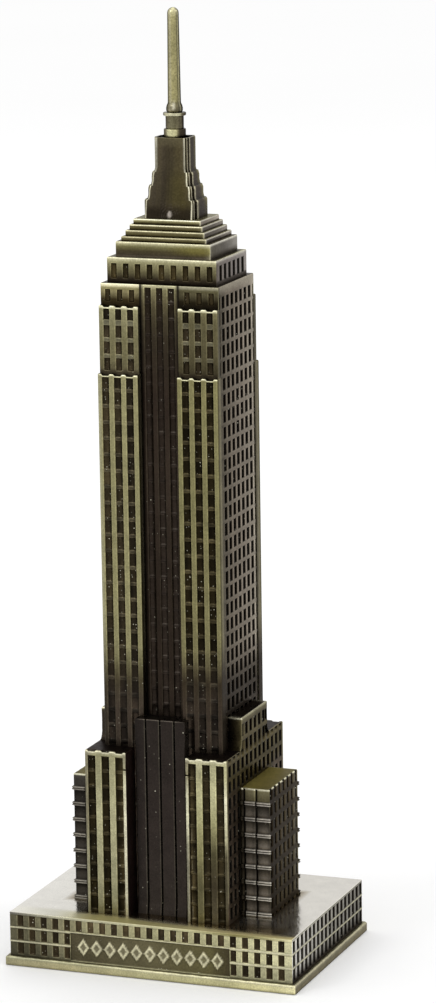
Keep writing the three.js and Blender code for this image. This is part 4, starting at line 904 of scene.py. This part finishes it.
def pavilion(name, mirror, left):
    x0, x1, front, back, top = PAVILION
    skin = Skin()
    strips = strip_edges(PAVILION_STRIP_MIDDLE, PAVILION_STRIP_PITCH, PAVILION_STRIP)
    bars = edges_of([54.4 - FLOOR * i - 1.53 for i in range(11)], 3.06)
    rows = edges_of([54.4 - FLOOR * i - BLOCK_WINDOW[1] / 2 for i in range(11)], BLOCK_WINDOW[1])
    columns = edges_of([-SIDE_PITCH * k for k in (4, 5, 6)], BLOCK_WINDOW[0])
    inner = lambda w, z: (np.zeros_like(w), coat(w, (74, 57, 52)))

    def roof(x, y):
        edge_light = np.maximum(soft(-y - 20.35, 0.4), soft(x - 18.6, 0.3) * 0.6)
        return np.zeros_like(x), over(coat(x, (40, 32, 27)), (190, 185, 150), edge_light * 0.8)

    faces = {"front": pavilion_front(left), "right": block_side, "left": inner, "top": roof}

    def warp(points):
        across = np.abs(fold(points[..., 0] - PAVILION_STRIP_MIDDLE, PAVILION_STRIP_PITCH, 3))
        notch = soft(PAVILION_STRIP / 2 - across, 0.6) * soft(-points[..., 1] - front + 0.7, 0.5)
        points = points.copy()
        points[..., 2] -= 0.4 * notch * soft(points[..., 2] - top + 0.5, 0.8)
        return points

    zs = bars + rows + edge(54.75) + [51.5, 51.65, 51.85, 52.0]
    skin.block((x0, x1, -front, -back, DECK_TOP, top), 0.34, faces, strips + edge(9.0), columns, zs, warp)
    skin.piece(f"{name}_casting", CAST, "rubbed_brass", [name], mirror)


def side_block(name, mirror, left):
    skin = Skin()
    rows = edges_of([54.4 - FLOOR * i - BLOCK_WINDOW[1] / 2 for i in range(11)], BLOCK_WINDOW[1])
    lower = {"right": block_side, "top": plain((46, 38, 30))}
    columns = edges_of(spread(0, SIDE_PITCH, 7), BLOCK_WINDOW[0])
    skin.block((15, 18.95, -BLOCK_FOOT_Y, BLOCK_FOOT_Y, DECK_TOP, 56.2), 0.2, lower, [], columns, rows)

    def flare(points):
        """The block's front and back sweep out into the roof below them."""
        points = points.copy()
        low = np.clip((59.0 - points[..., 2]) / 2.8, 0, 1)
        outer = np.clip((np.abs(points[..., 1]) - BLOCK_Y + 0.8) / 0.8, 0, 1)
        points[..., 1] += np.sign(points[..., 1]) * outer * 1.6 * (1 - np.sqrt(1 - low * low * 0.98))
        return points

    def returns(w, z):
        # Painted sheen growing to a highlight at the outer edge, darker on the left-hand block as shade, with a painted
        # highlight along the top.
        tone = ramp(w, (15.5, (30, 23, 19)), (17.0, (40, 33, 26)), (18.2, (62, 55, 36)), (18.6, (84, 77, 50)), (18.9, (112, 106, 84)))
        tone = over(tone, (44, 38, 34), 0.8 * left * soft(63.8 - z, 0.4))
        return np.zeros_like(w), over(tone, (206, 201, 176), soft(z - 63.95, 0.4))

    def roof(x, y):
        # Painted highlights along the front and outer edges of the roof.
        rim = np.maximum(soft(np.abs(y) - BLOCK_Y + 0.45, 0.4), soft(x - 18.6, 0.3) * 0.8)
        return np.zeros_like(x), over(coat(x, (42, 34, 26)), (206, 201, 176), rim)

    upper = {"right": block_side, "front": returns, "back": returns, "top": roof}
    rows = edges_of([57.05, 61.25], 2.7) + [56.6, 57.2, 57.8, 63.8, 64.0]
    columns = edges_of(spread(0, SIDE_PITCH, 5), BLOCK_WINDOW[0])
    skin.block((15, 18.95, -BLOCK_Y, BLOCK_Y, 56.1, BLOCK_TOP), 0.3, upper, [18.2], columns, rows, flare)
    skin.piece(f"{name}_casting", SIDE, "dark_patinated_brass", [name], mirror)


def wing_front(left, w, z):
    """Panels stacked floor on floor, each with a double ledge at its foot."""
    step = fold(z - (WING_LEDGE_TOP - 3.5 * 4.1), 4.1, WING_LEDGES)
    ledge = soft(0.5 - np.abs(step), 0.26)
    slot = soft(0.1 - np.abs(step), 0.2)
    groove = soft(0.17 - np.minimum(np.abs(w - 19.7), np.abs(w - 22.9)), 0.2)
    share = ((z - WING_LEDGE_TOP) % 4.1) / 4.1
    # Painted light: each panel goes from dark at its foot to light higher up and dark again under the ledge above, and
    # the left wing is painted as a darker, shaded copy.
    colour = ramp(share, (0.1, (78, 71, 60)), (0.4, (98, 92, 84)), (0.72, (118, 112, 104)), (0.85, (84, 78, 68)), (0.92, (40, 34, 26)))
    colour = colour * (0.7 if left else 1.24)
    colour = over(colour, colour * 1.08, soft(w - 22.9, 0.3))
    colour = over(colour, colour * 0.75, soft(w - 22.9, 0.3) * soft(z - 36, 8))
    # Painted shade towards the grooves and outer edges of each panel.
    inner = np.interp(w, (19.7, 20.2, 21.2, 22.2, 22.9), (0.62, 1.1, 1.14, 0.86, 0.5))
    colour = colour * np.where(w < 22.9, inner, np.interp(w, (22.9, 23.5, 24.6, 25.6, 26.4), (0.55, 0.82, 0.98, 0.94, 0.62)))[..., None]
    # Painted light: the top panels are lighter, more so on the right wing.
    colour = over(colour, (64, 60, 54) if left else (104, 97, 66), soft(z - 43.0, 0.6) * 0.7)
    colour = over(colour, (84, 80, 72) if left else (150, 144, 108), soft(z - 45.8, 0.8) * 0.5)
    colour = over(colour, (50, 44, 34), soft(19.7 - w, 0.1))
    # The ledges are painted highlights, dimmer on the left wing; the top edge is a painted highlight and the grooves
    # are painted shadow.
    colour = over(colour, ramp(z, (14, (196, 192, 182)), (44, (164, 158, 150))), ledge * soft(w - 19.7, 0.1) * (0.6 if left else 0.95))
    colour = over(colour, (70, 64, 54), slot)
    colour = over(colour, (216, 212, 186), soft(z - 46.35, 0.2))
    colour = over(colour, SHADOW_BLACK, groove)
    return 0.35 * groove * (1 - ledge) - (0.6 - 0.3 * groove) * ledge + 0.25 * slot, colour


def wing_side(w, z):
    width, height, deep = BLOCK_WINDOW
    row = (z - 46.74) % FLOOR
    column = width / 2 - np.abs(fold(w, 3.1, 7))
    opening = np.minimum(column, np.where(z > 44.0, z - 44.0, np.minimum(row - (FLOOR - height), FLOOR - row)))
    # Painted light: lighter towards the back, with a painted highlight on the front corner.
    colour = ramp(w, (-10.5, (96, 90, 66)), (-10.1, (26, 19, 11)), (-8.6, (30, 23, 14)), (-5, (62, 54, 41)), (0, (68, 60, 44)), (6, (62, 54, 41)), (8.6, (104, 98, 80)), (10.5, (124, 118, 99)))
    bars = soft(FLOOR - height + 0.05 - row, 0.3) * soft(44.2 - z, 0.3)
    colour = over(colour, (46, 38, 28), bars * 0.65)
    # Painted light on the edge behind each window.
    colour = over(colour, colour * 1.2, soft(0.3 - np.abs(fold(w - 0.85, 3.1, 7)), 0.3) * (1 - bars))
    # The top edge is a painted highlight; the window openings are painted near black, as shadow.
    colour = over(colour, (236, 232, 204), soft(z - 46.45, 0.2) * 0.8)
    colour = over(colour, (46, 38, 26), soft(opening + 0.1))
    colour = over(colour, (4, 2, 1), soft(opening + 0.03))
    return deep * soft(opening), colour


def wing(name, mirror, left):
    x0, x1, half, top = WING
    skin = Skin()
    rows = edges_of([46.74 - FLOOR * i - BLOCK_WINDOW[1] / 2 for i in range(9)], BLOCK_WINDOW[1]) + edge(44.0)
    rows += [45.9, 46.2, 46.35, 46.5]
    middles = spread(WING_LEDGE_TOP - 3.5 * 4.1, 4.1, WING_LEDGES)
    ledges = [middle + side * part for middle in middles for side in (-1, 1) for part in (0.0, 0.1, 0.2, 0.38, 0.5, 0.62)]
    columns = edges_of(spread(0, 3.1, 7), BLOCK_WINDOW[0]) + spread(0.85, 3.1, 7) + spread(-0.7, 3.1, 7)

    def roof(x, y):
        tone = ramp(x, (19, (118, 107, 54)), (21, (130, 119, 62)), (24, (108, 97, 48)), (25.7, (98, 89, 44)), (26.2, (120, 111, 68)))
        gap = soft(BLOCK_WINDOW[0] / 2 + 0.08 - np.abs(fold(y, 3.1, 7)))
        rim = np.maximum(soft(x - 26.15, 0.2), soft(np.abs(y) - 10.2, 0.2))
        # Painted highlights along the outer edges; the gaps along the outer edge are painted shadow.
        tone = over(tone, (236, 232, 204), rim)
        return np.zeros_like(x), over(tone, SHADOW_BLACK, gap * soft(x - 26.1, 0.15))

    front = lambda w, z: wing_front(left, w, z)
    faces = {"front": front, "back": front, "right": wing_side, "top": roof}
    box = (x0 - 0.6, x1, -half, half, DECK_TOP, top)
    skin.block(box, 0.25, faces, edge(19.7, 22.9) + [20.2, 21.2, 22.2, 23.5, 24.6, 25.6, 26.0, 26.1], columns, rows + ledges)
    piece = skin.piece(f"{name}_casting", SIDE, "dark_patinated_brass", [name], mirror)
    dull = [float(abs(v.co.y) / MM > half - 0.5 or v.co.z / MM > top - 0.2) for v in piece.data.vertices]
    piece.data.attributes.new("satin", "FLOAT", "POINT").data.foreach_set("value", dull)


def centre_face(w, z):
    near = np.abs(fold(w, CENTRE_GROOVE_PITCH, 3))
    groove = soft(0.16 - near, 0.2)
    tone = ramp(z, (14, (50, 44, 39)), (40, (48, 41, 37)), (55, (44, 38, 34)), (63, (43, 37, 33)))
    # Painted shade along the left edge.
    colour = over(tone, tone * 0.8, soft(-w - 4.5, 1))
    lit = soft(0.1 - np.abs(fold(w + 0.32, CENTRE_GROOVE_PITCH, 3)), 0.16)
    colour = over(colour, (72, 66, 58), lit * 0.7)
    # The grooves are painted near black, as shadow, and the top edge is a painted highlight.
    colour = over(colour, (5, 3, 2), groove)
    colour = over(colour, (100, 92, 84), soft(z - 64.15, 0.25) * soft(4.9 - np.abs(w), 0.6) * 0.7)
    return 0.45 * groove, colour


def centre_bay(name, mirror):
    half, front, top = CENTRE
    skin = Skin()
    grooves = edges_of(spread(0, CENTRE_GROOVE_PITCH, 3), 0.32) + spread(-0.32, CENTRE_GROOVE_PITCH, 3)
    grooves += spread(-0.48, CENTRE_GROOVE_PITCH, 3)

    def foot(points):
        points = points.copy()
        low = np.clip((17.5 - points[..., 2]) / 3.6, 0, 1)
        points[..., 1] -= 0.5 * low * (points[..., 1] < -front + 1)
        return points

    sides = plain((64, 57, 50))
    faces = {"front": centre_face, "right": sides, "left": sides, "top": plain((40, 34, 29))}
    skin.block((-half, half, -front, -12.4, DECK_TOP, top), 0.25, faces, grooves, [], [17.5, 16.5, 15.5], foot)
    skin.piece(f"{name}_casting", DARK, "dark_patinated_brass", [name], mirror)


# Crown


def crown_face(pitch, count, grey):
    def face(w, z):
        opening = np.minimum(0.68 - np.abs(fold(w, pitch, count)), between(z, 174.3, 177.8))
        # Darker towards the foot, with a painted highlight along the top edge; the side faces grow lighter towards the
        # back as painted sheen.
        warm = ramp(z, (173.4, (28, 22, 16)), (174.4, (52, 45, 32)), (175.2, (88, 82, 58)), (177, (112, 106, 76)), (178.4, (160, 155, 118)), (178.9, (190, 186, 150)), (179.15, (220, 215, 182)))
        cool = ramp(w, (-10.7, (96, 88, 80)), (-9, (124, 115, 108)), (0, (138, 130, 125)), (10.7, (158, 151, 145)))
        cool = over(cool, (200, 195, 182), soft(z - 178.85, 0.3) * 0.8)
        colour = over(cool, (40, 33, 26), soft(174.2 - z, 0.6) * 0.7) if grey else warm
        cell = chance(w / pitch, grey)[..., None]
        # Window openings: their own patina with painted shade, near black on the side faces.
        window_patina_and_shade = coat(w, (8, 6, 4)) if grey else coat(w, (92, 80, 51)) * (0.75 + 0.5 * cell)
        colour = over(colour, window_patina_and_shade, soft(opening + (0.2 if grey else 0.06)))
        return 0.7 * soft(opening), colour

    return face


def crown_band():
    half_x, half_y, top = BAND
    skin = Skin()
    front, side = crown_face(3.15, 9, False), crown_face(3.08, 6, True)

    def ledge(x, y):
        inside = np.maximum(np.abs(x) - half_x, np.abs(y) - half_y)
        # Darker next to the wall above, with a painted highlight along the outer rim.
        return np.zeros_like(x), ramp(inside, (-1.8, (52, 45, 34)), (-0.6, (84, 78, 56)), (-0.3, (190, 186, 154)))

    faces = {"front": front, "back": front, "right": side, "left": side, "top": ledge}
    xs = edges_of(spread(0, 3.15, 9), 1.36)
    ys = edges_of(spread(0, 3.08, 6), 1.36)
    box = (-half_x, half_x, -half_y, half_y, 173.0, top)
    skin.block(box, 0.3, faces, xs, ys, edges_of([176.05], 3.5) + [178.4, 178.8, 179.0])
    skin.piece("crown_band_casting", CAST, "rubbed_brass", ["crown_band"])


def crown_block():
    half_x, half_y, top = CROWN_BLOCK
    skin = Skin()

    def front(w, z):
        # Painted light: darker low down, a painted highlight along the top, a painted golden sheen on the right part
        # and a painted highlight on the right-hand corner.
        tone = ramp(z, (179.4, (92, 84, 70)), (179.8, (88, 80, 66)), (180.1, (54, 47, 33)), (181.2, (76, 69, 46)), (182.3, (126, 121, 82)), (182.8, (196, 191, 156)), (183.1, (208, 204, 170)))
        gold_sheen = soft(w - 4.0, 8) * soft(1.0 - np.abs(z - 181.3), 1.0)
        tone = over(tone, (214, 209, 178), soft(w - half_x + 0.4, 0.3) * 0.6)
        return np.zeros_like(w), over(tone, (126, 118, 56), gold_sheen * 0.55)

    def side(w, z):
        # Painted light: lighter towards the back, darker towards the foot, with painted highlights on the front corner
        # and along the top.
        tone = ramp(w, (-9.6, (100, 95, 81)), (0, (103, 98, 90)), (9.6, (162, 158, 150)))
        tone = over(tone, (60, 53, 44), soft(180.1 - z, 0.6) * 0.7)
        tone = over(tone, (222, 217, 194), soft(-w - half_y + 0.35, 0.3) * 0.6)
        return np.zeros_like(w), over(tone, (206, 202, 188), soft(z - 182.75, 0.3))

    faces = {"front": front, "back": front, "right": side, "left": side, "top": plain((80, 73, 52))}
    box = (-half_x, half_x, -half_y, half_y, 179.2, top)
    skin.block(box, 0.28, faces, [], [], [179.7, 180.0, 181.0, 182.0, 182.5], widest=1.5)
    skin.piece("crown_block_casting", CAST, "rubbed_brass", ["crown_block"])


def crown_steps():
    skin = Skin()
    bottom = CROWN_BLOCK[2] - 0.1
    # The painted highlight along the top edge of each step, brighter step by step upwards.
    step_highlights = ((186, 179, 144), (208, 202, 166), (232, 226, 192), (250, 246, 216))
    for (half_x, half_y, top), bright in zip(STEPS, step_highlights):
        low, high = bottom + 0.1, top
        last = top == STEPS[-1][2]

        def front(w, z, low=low, high=high, bright=bright, last=last, half=half_x):
            riser = (158, 152, 111) if last else (104, 97, 68)
            # Painted shade at the foot of each riser, a painted highlight along its top edge and on its right-hand
            # corner.
            tone = ramp(z, (low + 0.2, (34, 27, 10)), (low + 0.45, (82, 75, 46)), (high - 0.45, riser), (high - 0.15, bright))
            return np.zeros_like(w), over(tone, (214, 209, 178), soft(w - half + 0.35, 0.3) * 0.6)

        def side(w, z, low=low, high=high, last=last, half=half_y):
            # Painted light: lighter towards the back and on the top step, painted shade at the foot, painted highlights
            # on the front corner and along the top.
            tone = ramp(w, (-9, (78, 72, 64)), (0, (92, 86, 78)), (9, (142, 135, 126)))
            tone = tone * (1.58 if last else 1.13)
            tone = over(tone, (50, 43, 38), soft(low + 0.35 - z, 0.3) * 0.8)
            tone = over(tone, (226, 221, 198), soft(-w - half + 0.35, 0.3) * 0.6)
            return np.zeros_like(w), over(tone, (196, 191, 178), soft(z - high + 0.32, 0.2) * 0.9)

        faces = {"front": front, "back": front, "right": side, "left": side, "top": plain((132, 126, 94))}
        box = (-half_x, half_x, -half_y, half_y, bottom, top)
        skin.block(box, 0.3, faces, [], [], [low + 0.2, low + 0.45, low + 0.6, high - 0.5], widest=1.5)
        bottom = top - 0.1
    skin.piece("crown_steps_casting", CAST, "rubbed_brass", ["crown_steps"])


# Mast


def tiered(z, sizes):
    """A size that steps in at each tier."""
    value = np.full_like(z, float(sizes[0]))
    for top, before, after in zip(TIER_TOPS, sizes, sizes[1:]):
        value += (after - before) * soft(z - top, 0.3)
    return value


def stepping(sizes_x, sizes_y, sloped=False):
    def warp(points):
        points = points.copy()
        z = points[..., 2]
        points[..., 0] *= tiered(z, sizes_x) / sizes_x[0]
        grow = np.interp(z, (MAST_BOTTOM, 200.2, MAST_TOP), (sizes_y[0], sizes_y[3] + 0.15, sizes_y[3])) if sloped else tiered(z, sizes_y)
        points[..., 1] *= grow / sizes_y[0]
        return points

    return warp


TIER_LINES = [top + part for top in TIER_TOPS for part in (-0.05, 0.05)]


def plate_face(w, z):
    """The mast's long plates are dark and streaked, with a painted golden sheen, and their edges painted bright as
    highlights and wear.
    """
    size = tiered(z, PLATE_X) / PLATE_X[0]
    share, x, rim = w / PLATE_X[0], w * size, (PLATE_X[0] - np.abs(w)) * size
    top_tier = soft(z - 200.0, 0.6)
    colour = ramp(share, (-1, (72, 65, 52)), (-0.6, (66, 59, 46)), (-0.15, (50, 44, 34)), (0.2, (58, 52, 38)), (0.6, (66, 59, 40)), (1, (76, 69, 51)))
    colour = over(colour, colour * 1.14, top_tier)
    streak = 0.5 + 0.5 * np.sin(x * 5.1 + np.sin(x * 2.3) * 2)
    colour = over(colour, (84, 76, 52), streak * 0.3)
    # Painted golden sheen right of the middle.
    gold_sheen = soft(0.45 - np.abs(share - 0.45), 0.7) * soft(5 - np.abs(z - 194.6), 5)
    colour = over(colour, (88, 80, 36), gold_sheen * 0.3)
    colour = over(colour, (96, 89, 66), soft(z - 206.6, 2) * 0.7)
    colour = over(colour, (34, 28, 20), soft(191.2 - z, 2.5) * 0.8)
    # Painted highlights and wear along the edges, wider on the left edge of the top tier.
    margin = np.where(w < 0, 0.62 * top_tier, 0.35 * top_tier) + 0.3 * (1 - top_tier)
    pale = ramp(z, (189, (214, 209, 184)), (199.5, (206, 202, 176)), (200.5, (140, 135, 118)), (206, (146, 142, 126)), (208, (190, 185, 164)))
    colour = over(colour, pale, soft(margin - rim, 0.25))
    stud = soft(0.6 - np.hypot(x - 0.3, (z - 189.6) * 0.7), 0.4)
    colour = over(colour, (160, 152, 144), stud)
    arcs = soft(0.12 - np.abs((np.hypot(x - 0.4, z - 189.2) * 1.6) % 1 - 0.5), 0.2)
    colour = over(colour, (84, 76, 68), arcs * soft(192.6 - z, 1.5) * soft(2.6 - np.abs(x - 0.4), 1) * 0.5)
    return -0.15 * stud, colour


def mast():
    def core_front(w, z):
        return np.zeros_like(w), ramp(z, (188.5, (46, 39, 28)), (194, (60, 53, 36)), (208, (84, 78, 54)))

    def core_side(w, z):
        tone = ramp(z, (188.5, (36, 30, 22)), (208, (56, 49, 38)))
        # Painted highlights and wear along the edges.
        rim = (CORE_Y[0] - np.abs(w)) * tiered(z, CORE_Y) / CORE_Y[0]
        return np.zeros_like(w), over(tone, (176, 170, 148), soft(0.4 - rim, 0.3))

    zs = TIER_LINES + list(np.arange(MAST_BOTTOM + 0.4, 192.8, 0.35))
    skin = Skin()
    faces = {"front": core_front, "back": core_front, "right": core_side, "left": core_side, "top": plain((80, 74, 50))}
    box = (-CORE_X[0], CORE_X[0], -CORE_Y[0], CORE_Y[0], MAST_BOTTOM, MAST_TOP)
    skin.block(box, 0.25, faces, [], [-4.2, 4.2], zs, stepping(CORE_X, CORE_Y), widest=1.5)
    skin.piece("mast_core_casting", CAST, "dark_patinated_brass", ["mast_core"])
    for name, mirror in (("front", (1, 1)), ("back", (1, -1))):
        skin = Skin()
        box = (-PLATE_X[0], PLATE_X[0], -PLATE_Y[0], -1.0, MAST_BOTTOM, MAST_TOP)
        # Painted highlight along the front edge.
        rims = lambda w, z: (np.zeros_like(w), over(coat(w, (48, 41, 30)), (206, 201, 172), soft(-w - 5.0, 0.4)))
        faces = {"front": plate_face, "right": rims, "left": rims, "top": plain((90, 84, 60))}
        fine = list(np.arange(-6.0, 6.1, 0.3)) + [-5.5, 5.5]
        skin.block(box, 0.22, faces, fine, [-4.6, -5.0], zs, stepping(PLATE_X, PLATE_Y, True), widest=1.2)
        skin.piece(f"mast_{name}_casting", CAST, "dark_patinated_brass", [f"mast_{name}_plate"], mirror)

    def fin(w, z):
        share = w / FIN_Y[0]
        # Painted light: lighter towards the back, with a painted highlight along the front edge.
        tone = ramp(share, (-1, (52, 44, 34)), (0.1, (60, 52, 42)), (0.7, (98, 91, 62)), (1, (134, 127, 92)))
        tone = over(tone, (38, 31, 24), soft(191 - z, 3) * 0.6)
        return np.zeros_like(w), over(tone, (140, 134, 116), soft(-share - 0.88, 0.16) * 0.6)

    for name, mirror in (("right", (1, 1)), ("left", (-1, 1))):
        skin = Skin()
        box = (1.0, FIN_X[0], -FIN_Y[0], FIN_Y[0], MAST_BOTTOM, MAST_TOP)
        # Painted highlight along the outer edge.
        rims = lambda w, z: (np.zeros_like(w), over(coat(w, (60, 53, 41)), (160, 154, 132), soft(w - 6.8, 0.25)))
        faces = {"right": fin, "front": rims, "back": rims, "top": plain((120, 114, 92))}
        skin.block(box, 0.22, faces, [6.5, 6.75], [], zs, stepping(FIN_X, FIN_Y), widest=0.8)
        skin.piece(f"mast_{name}_casting", DARK, "dark_patinated_brass", [f"mast_{name}_plate"], mirror)


def rounded_ring(radius, low, high, bend, inner=0.9):
    """The outline of a turned ring with rounded edges, from its bore round to its bore."""
    turn = np.linspace(0, np.pi / 2, 5)
    under = [(radius - bend + bend * np.sin(a), low + bend - bend * np.cos(a)) for a in turn]
    above = [(radius - bend + bend * np.cos(a), high - bend + bend * np.sin(a)) for a in turn]
    return [(inner, low), *under, (radius, (low + high) / 2), *above, (inner, high)]


def mast_head():
    def shaded(*stops):
        """Painted light and shade around a turned part: tones from the left edge of the front view (-1) to its right
        edge (1).
        """
        return lambda a, z: ramp(np.sin(a + 1.2), *stops)

    collar = shaded((-1, (84, 78, 60)), (-0.8, (120, 114, 90)), (-0.68, (196, 192, 152)), (0.1, (186, 181, 138)), (0.3, (112, 105, 78)), (0.45, (60, 53, 41)), (1, (48, 41, 32)))
    drum = shaded((-1, (54, 48, 38)), (-0.85, (104, 99, 78)), (-0.3, (114, 109, 84)), (0, (96, 91, 68)), (0.3, (110, 104, 80)), (0.55, (80, 74, 57)), (0.7, (98, 92, 71)), (0.85, (44, 38, 29)), (1, (30, 24, 16)))
    gallery = shaded((-1, (120, 115, 98)), (-0.8, (196, 192, 162)), (0.45, (200, 196, 162)), (0.65, (96, 90, 72)), (1, (64, 58, 45)))
    parts = (
        ("collar_ring", "mast_collar", rounded_ring(2.73, 208.3, 210.3, 0.25), collar),
        ("drum_ring", "mast_drum", rounded_ring(2.25, 210.3, 213.5, 0.2), drum),
        ("gallery_disc", "gallery_ring", rounded_ring(2.84, 213.5, 214.3, 0.22), gallery),
    )
    for name, node, profile, colour in parts:
        skin = Skin()
        skin.turned(profile, colour)
        skin.piece(name, TURNED, "rubbed_brass", [node])
    skin = Skin()
    turn = np.linspace(0, np.pi / 2, 7)
    tip, top = 1.42, corners()[1][2] / MM
    profile = [(0.9, 214.25), (1.8, 214.3), (2.06, 214.7), (2.07, 215.4), (1.9, 216.1), (1.68, 216.5), (1.63, 216.9)]
    profile += [(1.63 + (tip - 1.63) * s, 216.9 + (top - tip - 216.9) * s) for s in np.linspace(0.04, 1, 24)]
    profile += [(tip * np.cos(a), top - tip + tip * np.sin(a)) for a in turn[1:]]
    profile[-1] = (0.0, top)

    def colour(a, z):
        # Painted light across the rod: dark at both edges, painted highlights left and right of the middle, a painted
        # shine low down, and a painted highlight at the top.
        base = ramp(z, (214.3, (96, 90, 70)), (216.4, (112, 106, 80)), (217.2, (150, 143, 100)), (238, (158, 151, 108)), (239.5, (222, 216, 172)))
        across = np.sin(a + 1.2)
        sides = np.interp(across, (-1, -0.9, -0.7, -0.4, 0.3, 0.48, 0.58, 0.68, 0.78, 0.86, 1), (0.5, 0.7, 1.02, 1.04, 0.98, 0.9, 0.4, 1.02, 0.85, 0.5, 0.3))
        tone = over(base, (176, 171, 148), soft(0.17 - np.abs(across + 0.6), 0.3) * 0.5)
        tone = over(tone, (196, 191, 166), soft(0.1 - np.abs(across - 0.7), 0.16) * 0.4) * sides[..., None]
        shine = soft(0.2 - np.abs(across + 0.12), 0.3) * soft(0.8 - np.abs(z - 216.0), 0.8)
        return over(tone, (226, 221, 196), shine * 0.8)

    skin.turned(profile, colour)
    skin.piece("spire", TURNED, "rubbed_brass", ["spire_rod"])


# The pieces that stay as they are in the frame get a finish of their own.


def finish_frame():
    finishes = {"pillar": HIDDEN, "screw": STEEL, "tie_rod": STEEL, "felt": FELT}
    for name, node in frame["nodes"].items():
        for part, material in finishes.items():
            if part in name:
                node.data.materials.clear()
                node.data.materials.append(material)


# Floor, light and camera


def floor():
    mesh = bpy.data.meshes.new("floor")
    size = 6.0
    mesh.from_pydata([(-size, -size, 0), (size, -size, 0), (size, size, 0), (-size, size, 0)], [], [(0, 1, 2, 3)])
    graph = Graph("floor_paper")
    tone = graph.mix("MIX", graph.noise(3, 2), (0.93, 0.93, 0.93, 1), (0.95, 0.95, 0.95, 1))
    graph.link(tone, graph.shader.inputs["Base Color"])
    graph.shader.inputs["Roughness"].default_value = 1.0
    graph.shader.inputs["Specular IOR Level"].default_value = 0.0
    graph.shader.inputs["Emission Color"].default_value = (1, 1, 1, 1)
    seen = graph.node("ShaderNodeLightPath").outputs["Is Camera Ray"]
    graph.link(graph.math("MULTIPLY", seen, 0.1), graph.shader.inputs["Emission Strength"])
    mesh.materials.append(graph.material)
    sheet = bpy.data.objects.new("floor", mesh)
    bpy.context.scene.collection.objects.link(sheet)
    sheet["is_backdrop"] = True


def world():
    made = bpy.data.worlds.new("studio")
    bpy.context.scene.world = made
    made.use_nodes = True
    tree = made.node_tree
    sky = tree.nodes["Background"]
    sky.inputs["Color"].default_value = (1, 1, 1, 1)
    path = tree.nodes.new("ShaderNodeLightPath")
    seen = path.outputs["Is Camera Ray"]
    for name in ("Is Glossy Ray", "Is Transmission Ray"):
        both = tree.nodes.new("ShaderNodeMath")
        both.operation = "MAXIMUM"
        tree.links.new(seen, both.inputs[0])
        tree.links.new(path.outputs[name], both.inputs[1])
        seen = both.outputs[0]
    level = tree.nodes.new("ShaderNodeMapRange")
    level.inputs["To Min"].default_value = 0.93
    level.inputs["To Max"].default_value = 1.0
    tree.links.new(seen, level.inputs["Value"])
    tree.links.new(level.outputs["Result"], sky.inputs["Strength"])


def lamp(name, at, size, power):
    light = bpy.data.lights.new(name, "AREA")
    light.shape = "SQUARE"
    light.size = size
    light.energy = power
    made = bpy.data.objects.new(name, light)
    made.location = at
    made.rotation_euler = (Vector((0, 0, 0.11)) - Vector(at)).to_track_quat("-Z", "Y").to_euler()
    bpy.context.scene.collection.objects.link(made)


def camera():
    right = Vector((0.935809, 0.352211, -0.01445419))
    up = Vector((-0.05857077, 0.19579225, 0.97889471))
    ahead = Vector((-0.3476075, 0.91521189, -0.20385342))
    data = bpy.data.cameras.new("camera")
    data.sensor_fit = "VERTICAL"
    data.sensor_height = 24
    data.lens = 24 * 4195.12 / 1003
    data.clip_start = 0.01
    made = bpy.data.objects.new("camera", data)
    turn = Matrix((right, up, -ahead)).transposed().to_4x4()
    made.matrix_world = Matrix.Translation((0.37362285, -0.95764567, 0.33049795)) @ turn
    bpy.context.scene.collection.objects.link(made)
    bpy.context.scene.camera = made


def build():
    lip()
    plinth()
    deck()
    long_wall("front", (1, 1))
    long_wall("back", (1, -1))
    side_wall("right", (1, 1))
    side_wall("left", (-1, 1))
    pavilion("pavilion_front_right", (1, 1), False)
    pavilion("pavilion_front_left", (-1, 1), True)
    pavilion("pavilion_back_right", (1, -1), False)
    pavilion("pavilion_back_left", (-1, -1), True)
    side_block("right_side_block", (1, 1), False)
    side_block("left_side_block", (-1, 1), True)
    wing("right_wing", (1, 1), False)
    wing("left_wing", (-1, 1), True)
    centre_bay("front_centre_bay", (1, 1))
    centre_bay("back_centre_bay", (1, -1))
    crown_band()
    crown_block()
    crown_steps()
    mast()
    mast_head()
    finish_frame()
    floor()
    world()
    lamp("key", (-0.7, -1.0, 1.1), 0.45, 2.6)
    lamp("fill", (1.1, 0.1, 1.0), 0.5, 1.3)
    lamp("back_fill", (-0.3, 1.2, 1.0), 0.5, 1.3)
    camera()


build()
bpy.context.scene.view_settings.view_transform = "Standard"
